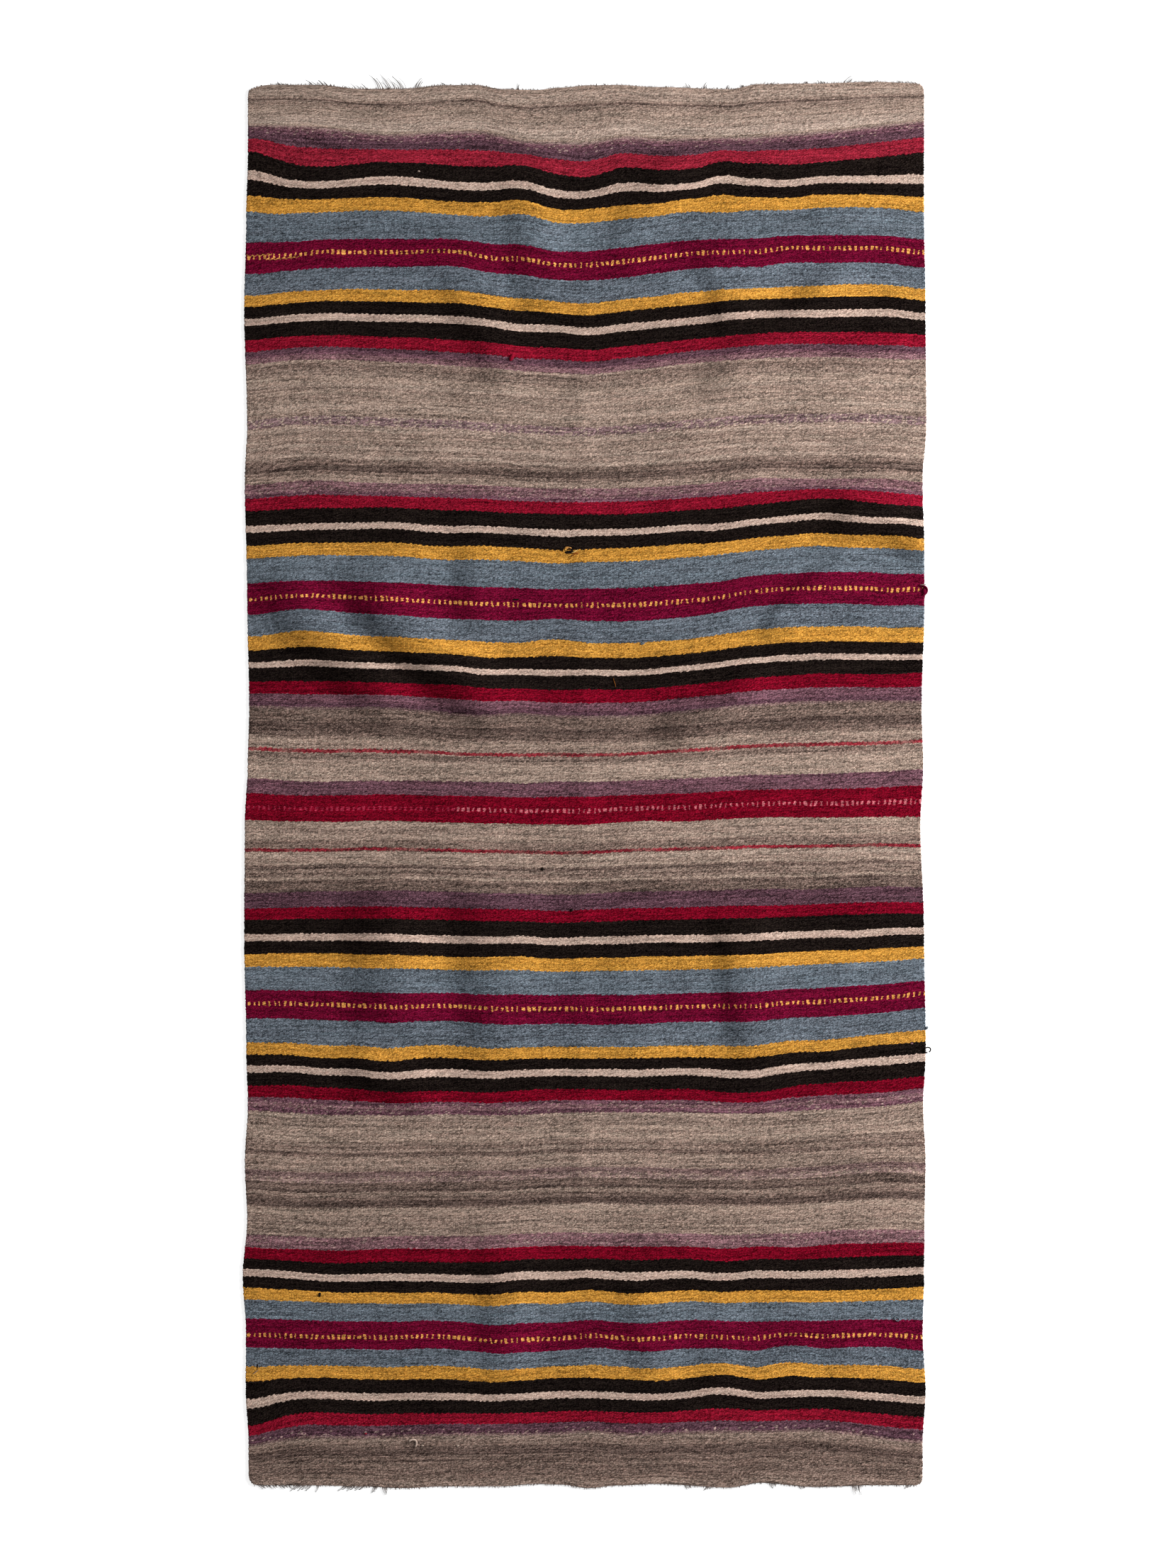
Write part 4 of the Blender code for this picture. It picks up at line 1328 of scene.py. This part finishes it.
def woven_wool(name):
    """Weft-faced wool in the blanket's stripes: slanting, uneven beads of weft over the warp ribs."""
    graph = Graph(name)
    place = graph.node("ShaderNodeUVMap", uv_map="Weave")
    u, v, _ = split(graph, place.outputs[0])
    weave = lay_beads(graph, u, v)
    colour, heather = woven_colour(graph, u, v, weave)
    tone = wool_tone(graph, u, v, weave, heather)

    # Painted shade between the beads, stronger in some places than in others, which also deepens the colour
    # there
    depth = graph.times(
        graph.math("MINIMUM", 1.0, graph.times(heather, CREVICE_HEATHER_GAIN)),
        graph.add(CREVICE_LEAST_DEPTH, graph.times(weave["chances"][1], CREVICE_DEPTH_SPREAD)),
    )
    lift = graph.less(graph.times(weave["roundness"], CREVICE_RISE), CREVICE_DROP)
    painted_crevice_shade = graph.add(1.0, graph.times(depth, lift))
    strength = graph.less(1.0 + CREVICE_HUE, graph.times(weave["roundness"], CREVICE_HUE))
    shade_deepened_colour = graph.node("ShaderNodeGamma", colour, strength)
    scaled = scale_colour(graph, shade_deepened_colour.outputs[0], graph.times(tone, painted_crevice_shade))

    # Pale stray fibres, and painted highlights where they catch the light
    stray_glints = patches(graph, u, v, *STRAY_GLINT_PATCHES, STRAY_GLINT_DETAIL, shift=STRAY_GLINT_SHIFT)
    stray_glints = graph.times(graph.math("MAXIMUM", graph.less(stray_glints, STRAY_GLINT_START), 0.0), STRAY_GLINT_RISE)
    glint_colour = graph.vector("ADD", colour, STRAY_GLINT_PALENESS)
    glint = graph.vector("MULTIPLY_ADD", glint_colour, graph.triple(stray_glints, stray_glints, stray_glints), scaled)

    fibres = patches(graph, u, v, *FIBRE_PATCHES, FIBRE_DETAIL)
    relief = graph.add(weave["roundness"], graph.times(fibres, FIBRE_RELIEF))
    cockles = graph.bump(patches(graph, u, v, *COCKLE_PATCHES, COCKLE_DETAIL), COCKLE_RELIEF)
    graph.put(graph.shader.inputs["Normal"], graph.bump(relief, BEAD_RELIEF, cockles))
    roughness = graph.less(WOOL_ROUGHNESS, graph.times(weave["roundness"], BEAD_SMOOTHNESS))
    return graph.finish(scale_colour(graph, glint, YARN_GAIN), roughness)


def spun_wool(name, yarn):
    """Loose yarn of one colour, with painted shade in the hollows between its fibres."""
    graph = Graph(name)
    place = graph.node("ShaderNodeTexCoord")
    texture = graph.node("ShaderNodeTexNoise", place.outputs["Object"])
    graph.put(texture.inputs["Scale"], SPUN_FIBRES_PER_METRE)
    graph.put(texture.inputs["Detail"], SPUN_DETAIL)
    # Painted shade: the tone is darkest where the same noise sets the relief lowest
    tone = graph.add(SPUN_LEAST_TONE, graph.times(texture.outputs[0], SPUN_TONE_RISE))
    graph.put(graph.shader.inputs["Normal"], graph.bump(texture.outputs[0], SPUN_RELIEF))
    return graph.finish(scale_colour(graph, yarn_colour(yarn), tone), SPUN_ROUGHNESS)


def warp_wool(name, root_yarn, tip_grey):
    """The bare grey wool of the loose warp ends: like the cloth at their roots, and paler towards their
    tips, from hair to hair."""
    graph = Graph(name)
    place = graph.node("ShaderNodeUVMap", uv_map="Weave")
    across, share, _ = split(graph, place.outputs[0])
    streaks = graph.cloud(
        graph.times(across, WARP_HAIRS_PER_METRE),
        graph.times(share, WARP_PATCHES_PER_HAIR),
    )
    tone = graph.add(WARP_LEAST_TONE, graph.times(streaks, WARP_TONE_RISE))
    towards_tip = graph.math("POWER", share, WARP_TIP_LATENESS)
    colour = graph.blend(towards_tip, opaque(root_yarn), (tip_grey, tip_grey, tip_grey, 1.0))
    return graph.finish(scale_colour(graph, colour, tone), WARP_ROUGHNESS)


# Stage: distances in metres, the lamp's share of the light, and the floor's own glow

CAMERA_HEIGHT = 6.267
CAMERA_LENS_MM = 85.0
CAMERA_ACROSS = 4.8 * MM
CAMERA_ALONG = 0.6 * MM
CAMERA_REACH = 100.0
LAMP_AWAY = 5.8
LAMP_FROM_DEGREES = 14.0
LAMP_HEIGHT_DEGREES = 20.0
LAMP_TALL = 1.5
LAMP_WIDE = 3.6
LAMP_AIM = (0.0, -3.0, 0.0)
LAMP_SHARE = 0.70
FLOOR_SIZE = 90.0
FLOOR_DROP = 0.4 * MM
FLOOR_COLOUR = (0.50, 0.50, 0.50, 1.0)
FLOOR_ROUGHNESS = 0.9
FLOOR_GLOW = 0.70


def build_camera():
    """A camera straight above the blanket, framed as the photograph is."""
    data = bpy.data.cameras.new("camera")
    data.lens = CAMERA_LENS_MM
    data.clip_end = CAMERA_REACH
    camera = bpy.data.objects.new("camera", data)
    camera.location = (CAMERA_ACROSS, CAMERA_ALONG, CAMERA_HEIGHT)
    bpy.context.scene.collection.objects.link(camera)
    bpy.context.scene.camera = camera


def build_light():
    """One wide soft lamp from the right and a little behind, and an even sky. The lamp is aimed past the
    front end, so that it lights both ends of the blanket alike."""
    height, way = math.radians(LAMP_HEIGHT_DEGREES), math.radians(LAMP_FROM_DEGREES)
    data = bpy.data.lights.new("lamp", "AREA")
    data.shape = "RECTANGLE"
    data.size, data.size_y = LAMP_WIDE, LAMP_TALL
    lamp = bpy.data.objects.new("lamp", data)
    level = LAMP_AWAY * math.cos(height)
    place = Vector((level * math.cos(way), level * math.sin(way), LAMP_AWAY * math.sin(height)))
    beam = Vector(LAMP_AIM) - place
    facing = beam.normalized().dot(-place.normalized())
    data.energy = (math.pi * LAMP_AWAY) ** 2 * LIGHT_LEVEL * LAMP_SHARE / (math.sin(height) * facing)
    lamp.location = place
    lamp.rotation_euler = beam.to_track_quat("-Z", "Y").to_euler()
    bpy.context.scene.collection.objects.link(lamp)
    world = bpy.data.worlds.new("sky")
    world.use_nodes = True
    sky = world.node_tree.nodes["Background"]
    sky.inputs["Color"].default_value = (1.0, 1.0, 1.0, 1.0)
    sky.inputs["Strength"].default_value = LIGHT_LEVEL * (1.0 - LAMP_SHARE)
    bpy.context.scene.world = world
    bpy.context.scene.view_settings.view_transform = "Standard"


def build_floor():
    """The pale floor that the blanket lies on. It glows a little, which softens the shadows on it."""
    graph = Graph("pale_floor")
    graph.put(graph.shader.inputs["Base Color"], FLOOR_COLOUR)
    graph.put(graph.shader.inputs["Roughness"], FLOOR_ROUGHNESS)
    graph.put(graph.shader.inputs["Emission Color"], (1.0, 1.0, 1.0, 1.0))
    graph.put(graph.shader.inputs["Emission Strength"], FLOOR_GLOW)
    half = FLOOR_SIZE / 2
    points = [(-half, -half, -FLOOR_DROP), (half, -half, -FLOOR_DROP), (half, half, -FLOOR_DROP)]
    points.append((-half, half, -FLOOR_DROP))
    add_mesh("floor", points, [(0, 1, 2, 3)], {}, [graph.material])


def main():
    build_camera()
    build_light()
    build_floor()
    wool = woven_wool("striped_wool_weave")
    cloth = build_cloth(wool)
    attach(cloth, "root")
    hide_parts("cloth", "end_back", "end_front")
    for hairs in named(HAIR_COLUMNS, HAIRS):
        bare_wool = warp_wool(hairs["slot"] + "_wool", hairs["root_yarn"], hairs["tip_grey"])
        warp_ends = build_warp_ends(hairs["end"], hairs["hairs_per_strand"], bare_wool)
        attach(warp_ends, "root")
        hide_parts("end_" + hairs["end"])
    for piece in (build_turns("left", wool), build_turns("right", wool), *build_bits()):
        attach(piece, "root")


main()
